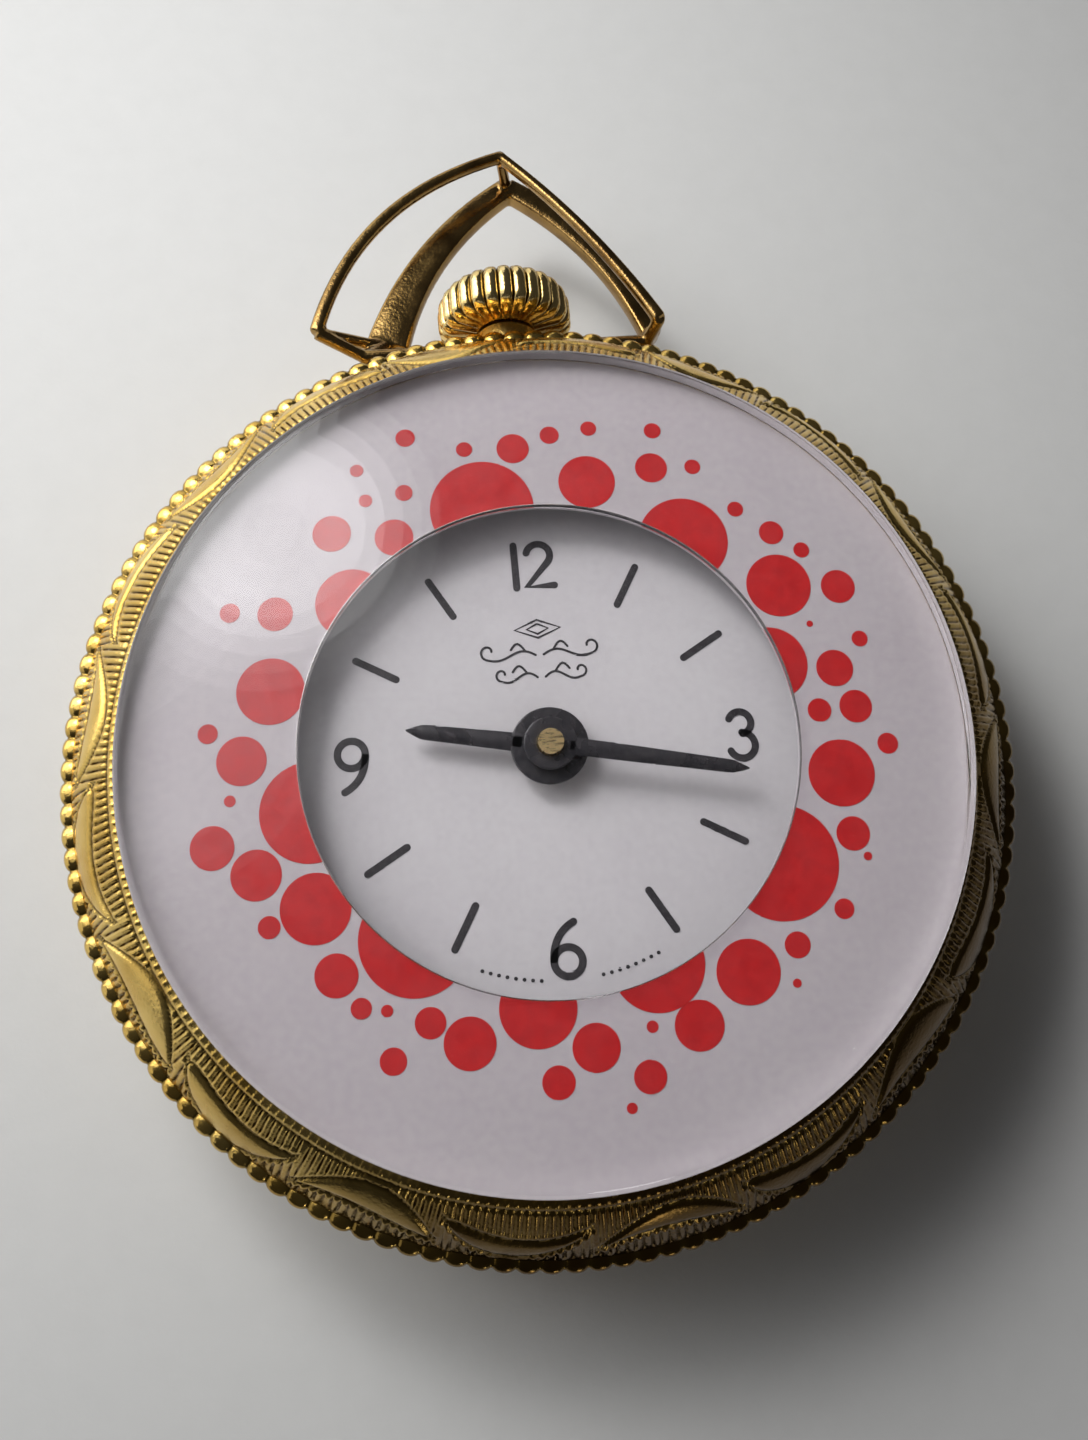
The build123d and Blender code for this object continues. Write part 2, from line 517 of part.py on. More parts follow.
def make_main_plate():
    """The main plate: a disc with a raised wall under the dial and a pocket for the stem."""
    plate = disc(PLATE_RADIUS, PLATE_BOTTOM, PLATE_TOP)
    plate += ring(PLATE_RADIUS, WALL_INNER_RADIUS, PLATE_TOP, DIAL_BOTTOM)
    plate -= block((-0.95, 0.95), (5.58, 9.05), (4, 5.6))
    plate -= block((-0.62, 0.8), (9, 12), (4, 5.62))
    plate -= along_y(STEM_PIVOT_RADIUS + RUNNING_GAP, 5.0, 6.0)
    for centre in (THIRD_AT, FOURTH_AT, ESCAPE_AT, LEVER_AT, BALANCE_AT):
        plate -= disc(PIVOT_RADIUS + RUNNING_GAP, 4, 6, centre)
    plate -= disc(CENTRE_SHAFT_RADIUS + RUNNING_GAP, 4, 6, CENTRE)
    plate -= disc(BARREL_PIVOT_RADIUS + RUNNING_GAP, 4, 6, BARREL_AT)
    for centre in DIAL_FEET:
        plate += disc(0.7, PLATE_TOP, DIAL_BOTTOM, centre)
        plate -= disc(DIAL_FOOT_RADIUS, 4, 6, centre)
    for centre in (MINUTE_AT, SETTING_AT):
        plate += disc(MOTION_POST_RADIUS, PLATE_TOP, MOTION_HIGH_Z[0], centre)
    for centre in (SETTING_LEVER_AT, YOKE_AT):
        plate += disc(0.5, PLATE_TOP, MOTION_HIGH_Z[0] - RUNNING_GAP, centre)
        plate += disc(LEVER_POST_RADIUS, PLATE_TOP, MOTION_HIGH_Z[1], centre)
    plate += disc(CLICK_POST_RADIUS, WINDING_Z[0] - 0.1, PLATE_BOTTOM, CLICK_AT)
    return plate


def pillared_bridge(area, pillars, holes):
    """A bridge of a given outline on pillars, drilled for its screws and pivots."""
    bridge = area
    for centre in pillars:
        bridge += disc(PILLAR_RADIUS, BRIDGE_BOTTOM, PLATE_BOTTOM, centre)
        bridge -= disc(SCREW_RADIUS, 0, SCREW_DEPTH, centre)
    for centre, radius in holes:
        bridge -= disc(radius + RUNNING_GAP, 0, BRIDGE_TOP + 1, centre)
    return bridge


def make_barrel_bridge():
    """The bridge over the barrel and the crown wheel, with the crown wheel's post."""
    area = disc(BRIDGE_RADIUS, BRIDGE_BOTTOM, BRIDGE_TOP) & block((-12, 12), (0.85, 12), (0, 3))
    bridge = pillared_bridge(area, BARREL_PILLARS, [(BARREL_AT, BARREL_PIVOT_RADIUS)])
    post = disc(0.8, BRIDGE_TOP, WINDING_Z[0] - RUNNING_GAP, CROWN_WHEEL_AT)
    post += disc(CROWN_WHEEL_POST_RADIUS, BRIDGE_TOP, WINDING_Z[1], CROWN_WHEEL_AT)
    return bridge + post


def make_train_bridge():
    """The bridge over the going train, cut away round the balance."""
    area = disc(BRIDGE_RADIUS, BRIDGE_BOTTOM, BRIDGE_TOP) & block((-1.9, 12), (-12, 0.75), (0, 3))
    area -= disc(4.0, 0, 3, BALANCE_AT)
    pivots = [(centre, PIVOT_RADIUS) for centre in (CENTRE, THIRD_AT, FOURTH_AT, ESCAPE_AT)]
    return pillared_bridge(area, TRAIN_PILLARS, pivots)


def make_screws(places, head_bottom, head_top, depth, head_radius=0.6):
    """Slotted screws whose heads point to the case back, one at each place."""
    screws = []
    for centre in places:
        screw = disc(head_radius, head_bottom, head_top, centre)
        screw += disc(SCREW_RADIUS, head_top, depth, centre)
        screw -= Pos(*centre, head_bottom) * Rot(0, 0, 30) * Box(2 * head_radius + 1, 0.16, 0.24)
        screws.append(screw)
    return Compound(children=screws)


def make_balance_cock():
    """The cock that carries the outer pivot of the balance."""
    cock = bar(BALANCE_AT, COCK_FOOT_AT, 1.8, *COCK_Z)
    cock += disc(0.9, COCK_Z[0], PLATE_BOTTOM, COCK_FOOT_AT)
    cock -= disc(SCREW_RADIUS, 0, SCREW_DEPTH, COCK_FOOT_AT)
    return cock - disc(PIVOT_RADIUS + RUNNING_GAP, COCK_Z[0] + PIVOT_LENGTH, 3, BALANCE_AT)


def make_pallet_cock():
    """The small cock that carries the outer pivot of the lever."""
    cock = bar(LEVER_AT, PALLET_FOOT_AT, 1.1, *PALLET_COCK_Z)
    cock += disc(0.75, PALLET_COCK_Z[0], PLATE_BOTTOM, PALLET_FOOT_AT)
    cock -= disc(PIVOT_RADIUS + RUNNING_GAP, 2, PALLET_COCK_Z[1] + 1, LEVER_AT)
    return cock - disc(SCREW_RADIUS, 2, 4.2, PALLET_FOOT_AT)


def make_case_clamps():
    """Three clamps from the movement ring to the underside of the main plate."""
    clamps = []
    for angle in CLAMP_ANGLES:
        across = (-CLAMP_HALF_WIDTH, CLAMP_HALF_WIDTH)
        clamp = block((10.65, 13.4), across, (RING_BOTTOM - 0.4, RING_BOTTOM))
        clamp += block((10.65, 11.4), across, (RING_BOTTOM, PLATE_BOTTOM))
        clamps.append(Rot(0, 0, angle) * clamp)
    return Compound(children=clamps)


def make_barrel_drum():
    """The barrel: a toothed drum, open towards the back."""
    drum = gear(BARREL_TEETH, BARREL_MODULE, BARREL_AT, BARREL_PHASE, *DRUM_TEETH_Z)
    drum += disc(DRUM_RADIUS, *DRUM_Z, BARREL_AT)
    drum -= disc(DRUM_INNER_RADIUS, DRUM_Z[0] - 1, DRUM_Z[1] - 0.15, BARREL_AT)
    return drum - disc(DRUM_CORE_RADIUS + RUNNING_GAP, 2, 4, BARREL_AT)


def make_barrel_cover():
    """The lid pressed into the open side of the barrel."""
    return ring(DRUM_INNER_RADIUS, DRUM_CORE_RADIUS + RUNNING_GAP, DRUM_Z[0], DRUM_Z[0] + 0.12, BARREL_AT)


def make_barrel_arbor():
    """The barrel arbor, with a core for the spring and a seat for the ratchet wheel."""
    core = disc(DRUM_CORE_RADIUS, DRUM_Z[0] - 0.1, WINDING_Z[0], BARREL_AT)
    core += disc(SPRING_CORE_RADIUS, MAINSPRING_Z[0] - SEAT_GAP, MAINSPRING_Z[1] + SEAT_GAP, BARREL_AT)
    return core + disc(BARREL_PIVOT_RADIUS, BRIDGE_BOTTOM + PIVOT_LENGTH, PLATE_TOP, BARREL_AT)


def make_mainspring():
    """The mainspring, let down against the wall of the drum."""
    return spiral(BARREL_AT, 0, 1.55, 0.34, 7, 0.12, *MAINSPRING_Z)


def make_ratchet_wheel():
    """The ratchet wheel on the barrel arbor."""
    wheel = gear(RATCHET_TEETH, WINDING_MODULE, BARREL_AT, RATCHET_PHASE, *WINDING_Z)
    return wheel - disc(BARREL_PIVOT_RADIUS, 3, 5, BARREL_AT)


def make_crown_wheel():
    """The crown wheel between the winding pinion and the ratchet wheel."""
    wheel = gear(CROWN_WHEEL_TEETH, WINDING_MODULE, CROWN_WHEEL_AT, CROWN_WHEEL_PHASE, *WINDING_Z)
    return wheel - disc(CROWN_WHEEL_POST_RADIUS + RUNNING_GAP, 3, 5, CROWN_WHEEL_AT)


def make_click():
    """The click, a pawl whose beak stands just outside the ratchet wheel's teeth."""
    tip = polar(RATCHET_RADIUS + 0.42, 232, BARREL_AT)
    click = bar(CLICK_AT, tip, 0.4, *CLICK_Z) + disc(0.62, *CLICK_Z, CLICK_AT)
    return click - disc(CLICK_POST_RADIUS + RUNNING_GAP, 3, 5, CLICK_AT)


def make_click_spring():
    """The click's leaf spring, screwed to the plate."""
    foot = polar(7.2, 233, BARREL_AT)
    leaf = bar(foot, polar(1.25, 250, CLICK_AT), 0.14, 4.1, 4.3)
    return leaf + disc(0.35, 4.1, PLATE_BOTTOM, foot)


def make_centre_wheel():
    """The centre wheel, its pinion in the barrel's teeth, on the long arbor of the hands."""
    wheel = gear(CENTRE_TEETH, CENTRE_MODULE, CENTRE, CENTRE_PHASE, *CENTRE_WHEEL_Z)
    wheel = spoked(wheel, CENTRE, 0.8, 2.6, *CENTRE_WHEEL_Z, 5)
    wheel += gear(CENTRE_LEAVES, BARREL_MODULE, CENTRE, CENTRE_PINION_PHASE, 2.45, 3.32)
    wheel += disc(CENTRE_SHAFT_RADIUS, BRIDGE_TOP + RUNNING_GAP, PLATE_TOP, CENTRE)
    wheel += disc(PIVOT_RADIUS, BRIDGE_BOTTOM + PIVOT_LENGTH, 3, CENTRE)
    return wheel + disc(CENTRE_POST_RADIUS, 3, CANNON_TOP - 0.15, CENTRE)


def make_third_wheel():
    """The third wheel and its pinion."""
    wheel = gear(THIRD_TEETH, THIRD_MODULE, THIRD_AT, THIRD_PHASE, *THIRD_WHEEL_Z)
    wheel = spoked(wheel, THIRD_AT, 0.7, 2.1, *THIRD_WHEEL_Z, 5)
    wheel += gear(THIRD_LEAVES, CENTRE_MODULE, THIRD_AT, THIRD_PINION_PHASE, 2.18, 2.6)
    return wheel + arbor(THIRD_AT)


def make_fourth_wheel():
    """The fourth wheel and its pinion."""
    wheel = gear(FOURTH_TEETH, FOURTH_MODULE, FOURTH_AT, FOURTH_PHASE, *FOURTH_WHEEL_Z)
    wheel = spoked(wheel, FOURTH_AT, 0.7, 2.1, *FOURTH_WHEEL_Z, 5)
    wheel += gear(FOURTH_LEAVES, THIRD_MODULE, FOURTH_AT, FOURTH_PINION_PHASE, 3.3, 3.65)
    return wheel + arbor(FOURTH_AT)


def make_escape_wheel():
    """The escape wheel of a pin-lever escapement, with raked teeth."""
    step = 360 / ESCAPE_TEETH
    corners = ((1.35, 0.0), (ESCAPE_RADIUS, 0.30), (ESCAPE_RADIUS - 0.03, 0.42), (1.35, 0.55))
    outline = [polar(radius, step * (tooth + part))
               for tooth in range(ESCAPE_TEETH) for radius, part in corners]
    plate = extrude(make_face(Polyline(*outline, close=True)), ESCAPE_Z[1] - ESCAPE_Z[0])
    wheel = Pos(*ESCAPE_AT, ESCAPE_Z[0]) * plate
    wheel = spoked(wheel, ESCAPE_AT, 0.5, 1.1, *ESCAPE_Z, 4)
    wheel += gear(ESCAPE_LEAVES, FOURTH_MODULE, ESCAPE_AT, ESCAPE_PINION_PHASE, 2.78, 3.2)
    return wheel + arbor(ESCAPE_AT)


def pallet_places():
    """Where the two pallet pins stand, just outside the escape wheel's tips."""
    return [polar(PALLET_PIN_REACH, LEVER_LINE + side * 30, ESCAPE_AT) for side in (-1, 1)]


def make_pallet_lever():
    """The lever: a fork towards the balance and a cross arm for the pallet pins."""
    lever = disc(LEVER_HUB_RADIUS, *LEVER_Z, LEVER_AT)
    lever += bar(LEVER_AT, polar(1.42, LEVER_LINE, LEVER_AT), 0.34, *LEVER_Z)
    for place in pallet_places():
        lever += bar(place, LEVER_AT, 0.3, *LEVER_Z)
        lever -= disc(PIN_RADIUS, 3, 4, place)
    lever -= disc(IMPULSE_RADIUS + 2 * PIN_RADIUS + 0.03, 3, 4, BALANCE_AT)
    shaft = disc(LEVER_SHAFT_RADIUS, PALLET_COCK_Z[1] + RUNNING_GAP, PLATE_BOTTOM - RUNNING_GAP, LEVER_AT)
    pivot_z = (PALLET_COCK_Z[0] + PIVOT_LENGTH, PLATE_TOP - PIVOT_LENGTH)
    return lever + shaft + disc(PIVOT_RADIUS, *pivot_z, LEVER_AT)


def make_pallet_pins():
    """The two round steel pallet pins, pressed in the lever and reaching the wheel's level."""
    return Compound(children=[disc(PIN_RADIUS, ESCAPE_Z[0], LEVER_Z[1], place) for place in pallet_places()])


def make_balance_wheel():
    """The balance: a plain rim on two arms."""
    rim = ring(BALANCE_RADIUS, BALANCE_RIM_INNER, *BALANCE_Z, BALANCE_AT)
    ends = [polar(3.3, angle, BALANCE_AT) for angle in (10, 190)]
    arms = bar(*ends, 0.5, *BALANCE_ARM_Z) + disc(0.55, *BALANCE_ARM_Z, BALANCE_AT)
    return rim + arms - disc(STAFF_RADIUS, 2, 3, BALANCE_AT)


def make_balance_staff():
    """The balance staff, coned at both ends in a real movement and straight here."""
    staff = disc(STAFF_RADIUS, COCK_Z[1] + RUNNING_GAP, PLATE_BOTTOM - RUNNING_GAP, BALANCE_AT)
    staff += disc(STAFF_SHOULDER_RADIUS, HAIRSPRING_Z[0] - 0.05, 2.08, BALANCE_AT)
    return staff + disc(PIVOT_RADIUS, COCK_Z[0] + 0.15, PLATE_TOP - 0.1, BALANCE_AT)


def make_roller():
    """The roller and its impulse pin, which points to the lever's fork."""
    toward_lever = LEVER_LINE + 180
    roller = ring(ROLLER_RADIUS, STAFF_RADIUS, *ROLLER_Z, BALANCE_AT)
    impulse_pin = disc(PIN_RADIUS, ROLLER_Z[1], LEVER_Z[1], polar(IMPULSE_RADIUS, toward_lever, BALANCE_AT))
    return roller + impulse_pin


def make_hairspring():
    """The hairspring: its coils on the regulator's side share the balance's axis."""
    return spiral(BALANCE_AT, REGULATOR_LINE, 0.48, 0.22, 5, 0.05, *HAIRSPRING_Z, last_sweep=90)


def make_hairspring_stud():
    """The stud that hangs from the cock and holds the spring's outer end."""
    grip = disc(0.16, HAIRSPRING_Z[1], HAIRSPRING_Z[1] + 0.06, polar(1.47, COCK_LINE, BALANCE_AT))
    return grip + disc(0.16, COCK_Z[1], HAIRSPRING_Z[1], polar(1.70, COCK_LINE, BALANCE_AT))


def make_regulator():
    """The regulator: an index on the cock with two curb pins either side of the outer coil."""
    hub = ring(REGULATOR_HUB_RADIUS, REGULATOR_BORE, *REGULATOR_Z, BALANCE_AT)
    tail_ends = [polar(radius, REGULATOR_LINE, BALANCE_AT) for radius in (0.8, REGULATOR_TAIL_END)]
    index = hub + bar(*tail_ends, 0.45, *REGULATOR_Z)
    for radius in REGULATOR_PIN_RADII:
        index += disc(0.05, REGULATOR_Z[0], HAIRSPRING_Z[1], polar(radius, REGULATOR_LINE, BALANCE_AT))
    return index


def make_regulator_boss():
    """The end cap on the cock that the regulator turns round."""
    return disc(REGULATOR_BORE - RUNNING_GAP, REGULATOR_Z[0], COCK_Z[0], BALANCE_AT)


def make_cannon_pinion():
    """The cannon pinion, a tube over the centre arbor that carries the minute hand."""
    pinion = gear(CANNON_LEAVES, MOTION_MODULE, CENTRE, CANNON_PHASE, *MOTION_LOW_Z)
    pinion += disc(CANNON_RADIUS, MOTION_LOW_Z[1], CANNON_TOP, CENTRE)
    return pinion - disc(CENTRE_POST_RADIUS + SEAT_GAP, 5, CANNON_TOP - 0.1, CENTRE)


def make_minute_wheel():
    """The minute wheel and its pinion, on a post in the plate."""
    wheel = gear(MINUTE_TEETH, MOTION_MODULE, MINUTE_AT, MINUTE_PHASE, *MOTION_LOW_Z)
    pinion_z = (MOTION_LOW_Z[1], MOTION_HIGH_Z[1])
    wheel += gear(MINUTE_LEAVES, MOTION_MODULE, MINUTE_AT, MINUTE_PINION_PHASE, *pinion_z)
    return wheel - disc(MOTION_POST_RADIUS + RUNNING_GAP, 5, MOTION_HIGH_Z[0] + RUNNING_GAP, MINUTE_AT)


def make_hour_wheel():
    """The hour wheel and the pipe that carries the hour hand."""
    wheel = gear(HOUR_TEETH, MOTION_MODULE, CENTRE, HOUR_PHASE, *MOTION_HIGH_Z)
    wheel += disc(HOUR_PIPE_RADIUS, MOTION_HIGH_Z[0], HOUR_PIPE_TOP, CENTRE)
    return wheel - disc(HOUR_PIPE_BORE, 5, 8, CENTRE)


def make_setting_wheel():
    """The intermediate wheel between the sliding pinion and the minute wheel."""
    wheel = gear(SETTING_TEETH, MOTION_MODULE, SETTING_AT, SETTING_PHASE, *MOTION_LOW_Z)
    return wheel - disc(MOTION_POST_RADIUS + RUNNING_GAP, 5, 6, SETTING_AT)


def make_dial_washer():
    """The thin washer that keeps the hour wheel down under the dial."""
    return ring(WASHER_RADIUS, WASHER_BORE, DIAL_BOTTOM - 0.12, DIAL_BOTTOM - SEAT_GAP, CENTRE)


def make_dial():
    """The dial, with two feet in the main plate."""
    dial = ring(DIAL_RADIUS, DIAL_HOLE_RADIUS, DIAL_BOTTOM, DIAL_TOP)
    for centre in DIAL_FEET:
        dial += disc(DIAL_FOOT_RADIUS, PLATE_BOTTOM + 0.1, DIAL_BOTTOM, centre)
    return dial


def make_setting_lever():
    """The setting lever, with a peg in the stem's groove."""
    lever = bar(SETTING_LEVER_AT, SETTING_PEG_AT, 0.42, *MOTION_HIGH_Z)
    lever += disc(LEVER_BOSS_RADIUS, *MOTION_HIGH_Z, SETTING_LEVER_AT)
    lever += disc(0.11, STEM_Z - 0.1, MOTION_HIGH_Z[0], SETTING_PEG_AT)
    return lever - disc(LEVER_POST_RADIUS + RUNNING_GAP, 5, 6, SETTING_LEVER_AT)


def make_yoke():
    """The yoke, with a peg in the sliding pinion's groove."""
    near_peg = (YOKE_PEG_AT[0] - 0.12, YOKE_PEG_AT[1])
    yoke = bar(YOKE_AT, near_peg, 0.4, *MOTION_HIGH_Z) + disc(LEVER_BOSS_RADIUS, *MOTION_HIGH_Z, YOKE_AT)
    yoke += disc(0.1, STEM_Z - 0.1, MOTION_HIGH_Z[1], YOKE_PEG_AT)
    return yoke - disc(LEVER_POST_RADIUS + RUNNING_GAP, 5, 6, YOKE_AT)


def make_yoke_spring():
    """The yoke's spring, a bent wire on the plate beside it."""
    foot = (-5.4, 4.4)
    leaf_top = MOTION_HIGH_Z[0] + LEAF_THICKNESS
    leaf = bar(foot, (-2.3, 5.75), 0.14, MOTION_HIGH_Z[0], leaf_top)
    return leaf + disc(0.35, PLATE_TOP, leaf_top, foot)


def make_setting_jumper():
    """The detent spring of the setting lever."""
    foot = (6.6, 6.4)
    leaf_top = MOTION_HIGH_Z[0] + LEAF_THICKNESS
    leaf = bar(foot, (5.1, 9.0), 0.16, MOTION_HIGH_Z[0], leaf_top)
    return leaf + disc(0.4, PLATE_TOP, leaf_top, foot)


def hand_outline(angle, length, root_width, belly_width, belly_at):
    """A pointed hand in plan; angle is clockwise from twelve."""
    tip = HAND_TIP_WIDTH / 2
    points = [(0, root_width / 2), (belly_at, belly_width / 2), (length, tip), (length, -tip),
              (belly_at, -belly_width / 2), (0, -root_width / 2)]
    return Rot(0, 0, 90 - angle) * make_face(Polyline(*points, close=True))


def make_hour_hand():
    """The hour hand: a large round hub and a leaf that narrows to a point."""
    level = (HOUR_HAND_Z, HOUR_HAND_Z + HOUR_HAND_THICKNESS)
    outline = hand_outline(HOUR_HAND_ANGLE, HOUR_HAND_LENGTH, *HOUR_HAND_WIDTHS)
    hand = Pos(0, 0, HOUR_HAND_Z) * extrude(outline, HOUR_HAND_THICKNESS) + disc(HAND_HUB_RADIUS, *level)
    return hand - disc(HOUR_PIPE_RADIUS, 6, 8)


def make_minute_hand():
    """The minute hand: a slim pointed blade on a small hub."""
    level = (MINUTE_HAND_Z, MINUTE_HAND_Z + MINUTE_HAND_THICKNESS)
    outline = hand_outline(MINUTE_HAND_ANGLE, MINUTE_HAND_LENGTH, *MINUTE_HAND_WIDTHS)
    blade = Pos(0, 0, MINUTE_HAND_Z) * extrude(outline, MINUTE_HAND_THICKNESS)
    hand = blade + disc(MINUTE_HUB_RADIUS, *level)
    return hand - disc(CANNON_RADIUS, 6, 9)


def cap_screw(centre, radius, bottom, top):
    """A low slotted screw head that keeps a lever or a wheel on its post."""
    head = disc(radius, bottom, top, centre)
    return head - Pos(*centre, top) * Rot(0, 0, 20) * Box(3 * radius, 0.14, (top - bottom) * 0.8)


MAKERS = {
    "case_back": make_case_back,
    "case_band": make_case_band,
    "bezel": make_bezel,
    "crystal": make_crystal,
    "printed_ring": make_printed_ring,
    "movement_ring": make_movement_ring,
    "pendant_tube": make_pendant_tube,
    "bow": make_bow,
    "crown": make_crown,
    "stem": make_stem,
    "winding_pinion": make_winding_pinion,
    "sliding_pinion": make_sliding_pinion,
    "setting_lever": make_setting_lever,
    "setting_lever_screw": lambda: cap_screw(SETTING_LEVER_AT, 0.5, MOTION_HIGH_Z[1], DIAL_BOTTOM),
    "setting_jumper": make_setting_jumper,
    "yoke": make_yoke,
    "yoke_screw": lambda: cap_screw(YOKE_AT, 0.5, MOTION_HIGH_Z[1], DIAL_BOTTOM),
    "yoke_spring": make_yoke_spring,
    "setting_wheel": make_setting_wheel,
    "main_plate": make_main_plate,
    "barrel_bridge": make_barrel_bridge,
    "train_bridge": make_train_bridge,
    "bridge_screws": lambda: make_screws(BARREL_PILLARS + TRAIN_PILLARS, 0.95, BRIDGE_BOTTOM, SCREW_DEPTH),
    "balance_cock": make_balance_cock,
    "balance_cock_screw": lambda: make_screws([COCK_FOOT_AT], 0.7, COCK_Z[0], SCREW_DEPTH),
    "pallet_cock": make_pallet_cock,
    "pallet_cock_screw": lambda: make_screws([PALLET_FOOT_AT], 2.35, PALLET_COCK_Z[0], 4.2, 0.5),
    "case_clamps": make_case_clamps,
    "barrel_drum": make_barrel_drum,
    "barrel_cover": make_barrel_cover,
    "barrel_arbor": make_barrel_arbor,
    "mainspring": make_mainspring,
    "ratchet_wheel": make_ratchet_wheel,
    "crown_wheel": make_crown_wheel,
    "click": make_click,
    "click_spring": make_click_spring,
    "centre_wheel": make_centre_wheel,
    "third_wheel": make_third_wheel,
    "fourth_wheel": make_fourth_wheel,
    "escape_wheel": make_escape_wheel,
    "pallet_lever": make_pallet_lever,
    "pallet_pins": make_pallet_pins,
    "balance_wheel": make_balance_wheel,
    "balance_staff": make_balance_staff,
    "roller": make_roller,
    "hairspring": make_hairspring,
    "hairspring_stud": make_hairspring_stud,
    "regulator": make_regulator,
    "regulator_boss": make_regulator_boss,
    "cannon_pinion": make_cannon_pinion,
    "minute_wheel": make_minute_wheel,
    "hour_wheel": make_hour_wheel,
    "dial_washer": make_dial_washer,
    "dial": make_dial,
    "hour_hand": make_hour_hand,
    "minute_hand": make_minute_hand,
}

for node, maker in MAKERS.items():
    export_step(maker(), f"parts/{node}.step")
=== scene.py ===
from math import asin, atan2, cos, exp, floor, hypot, pi, radians, sin, sqrt, tau

import bmesh
import bpy
from mathutils import Matrix, Vector


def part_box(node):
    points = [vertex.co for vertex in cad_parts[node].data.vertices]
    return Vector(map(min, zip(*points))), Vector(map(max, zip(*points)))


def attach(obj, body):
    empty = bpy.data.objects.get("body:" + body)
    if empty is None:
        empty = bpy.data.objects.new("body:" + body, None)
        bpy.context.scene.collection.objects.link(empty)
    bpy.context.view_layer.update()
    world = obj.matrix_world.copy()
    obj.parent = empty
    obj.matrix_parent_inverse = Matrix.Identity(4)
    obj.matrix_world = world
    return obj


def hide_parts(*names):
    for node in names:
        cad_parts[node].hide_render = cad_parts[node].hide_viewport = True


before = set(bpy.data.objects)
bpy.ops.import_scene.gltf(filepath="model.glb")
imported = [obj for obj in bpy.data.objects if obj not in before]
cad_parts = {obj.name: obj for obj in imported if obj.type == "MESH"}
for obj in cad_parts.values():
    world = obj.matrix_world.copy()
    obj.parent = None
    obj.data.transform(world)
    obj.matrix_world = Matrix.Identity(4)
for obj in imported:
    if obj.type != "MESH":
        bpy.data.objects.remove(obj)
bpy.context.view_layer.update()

# A pendant watch in the CAD model's frame. Lengths below are millimetres and are
# turned into metres where a mesh is made. The dial's axis is Z, twelve is at +Y.
MM = 0.001
SEGMENTS = 288


def low(node):
    """A CAD node's lowest corner in millimetres."""
    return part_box(node)[0] / MM


def high(node):
    """A CAD node's highest corner in millimetres."""
    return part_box(node)[1] / MM


# ---- sizes read from the frame ----
BEZEL_TOP = high("bezel").z
BEZEL_BOTTOM = low("bezel").z
CRYSTAL_RADIUS = high("crystal").x
CRYSTAL_TOP = high("crystal").z
PRINT_TOP = high("printed_ring").z
PRINT_THICKNESS = 0.2
PRINT_BOTTOM = PRINT_TOP - PRINT_THICKNESS
RING_FOOT = low("printed_ring").z
PRINT_RADIUS = high("printed_ring").x
DIAL_TOP = high("dial").z
DIAL_BOTTOM = low("dial").z
DIAL_RADIUS = high("dial").x
CROWN_RADIUS = high("crown").x
CROWN_START = low("crown").y
CROWN_END = high("crown").y
STEM_Z = (high("pendant_tube").z + low("pendant_tube").z) / 2
HOUR_HAND_Z = low("hour_hand").z
HOUR_HAND_TOP = high("hour_hand").z
MINUTE_HAND_Z = low("minute_hand").z
MINUTE_HAND_TOP = high("minute_hand").z

# ---- sizes of the detail ----
BEZEL_EDGE_RADIUS = 15.2
LEDGE_RADIUS = 14.3
BEAD_COUNT = 135
HATCH_COUNT = 360
SERRATION_COUNT = 300
LEAF_COUNT = 20
APERTURE_RADIUS = 8.8
APERTURE_CEILING = 8.2
CRYSTAL_WALL_TOP = 9.4
CRYSTAL_SHOULDER_Z = 10.05
CRYSTAL_SHOULDER_RADIUS = 14.5
CARRIER_RIM_RADIUS = 14.7
CROWN_FLUTES = 28
# Half the thickness of printed ink.
INK = 0.015


# ---------------------------------------------------------------- mesh helpers

def add_piece(name, points, faces, material, body, replaced=(), sharp=32):
    """A mesh piece from points in millimetres, shaded smooth except at sharp edges, riding on a body."""
    mesh = bpy.data.meshes.new(name)
    mesh.from_pydata([Vector(p) * MM for p in points], [], faces)
    solid = bmesh.new()
    solid.from_mesh(mesh)
    bmesh.ops.recalc_face_normals(solid, faces=solid.faces)
    solid.to_mesh(mesh)
    solid.free()
    mesh.polygons.foreach_set("use_smooth", [True] * len(mesh.polygons))
    mesh.set_sharp_from_angle(angle=radians(sharp))
    mesh.materials.append(material)
    piece = bpy.data.objects.new(name, mesh)
    bpy.context.scene.collection.objects.link(piece)
    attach(piece, body)
    if replaced:
        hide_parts(*replaced)
    return piece


def joined(*shells):
    """Several (points, faces) shells as one."""
    points, faces = [], []
    for shell_points, shell_faces in shells:
        first = len(points)
        points += shell_points
        faces += [[first + corner for corner in face] for face in shell_faces]
    return points, faces


def softened(section, size, steps=4):
    """A closed section with every corner off the axis rounded over a size."""
    rounded = []
    count = len(section)
    for i, corner in enumerate(section):
        here = Vector(corner)
        if here.x < 1e-6:
            rounded.append(tuple(here))
            continue
        back = Vector(section[i - 1]) - here
        ahead = Vector(section[(i + 1) % count]) - here
        start = here + back.normalized() * min(size, 0.45 * back.length)
        end = here + ahead.normalized() * min(size, 0.45 * ahead.length)
        for k in range(steps + 1):
            t = k / steps
            rounded.append(tuple(start * (1 - t) ** 2 + here * 2 * t * (1 - t) + end * t ** 2))
    return rounded


def banded(rings, closed):
    """Faces between each ring of point numbers and the next, and from last to first if closed."""
    faces = []
    for ring, after in zip(rings, rings[1:] + (rings[:1] if closed else [])):
        for i in range(len(ring)):
            j = (i + 1) % len(ring)
            corners = list(dict.fromkeys((ring[i], ring[j], after[j], after[i])))
            if len(corners) > 2:
                faces.append(corners)
    return faces


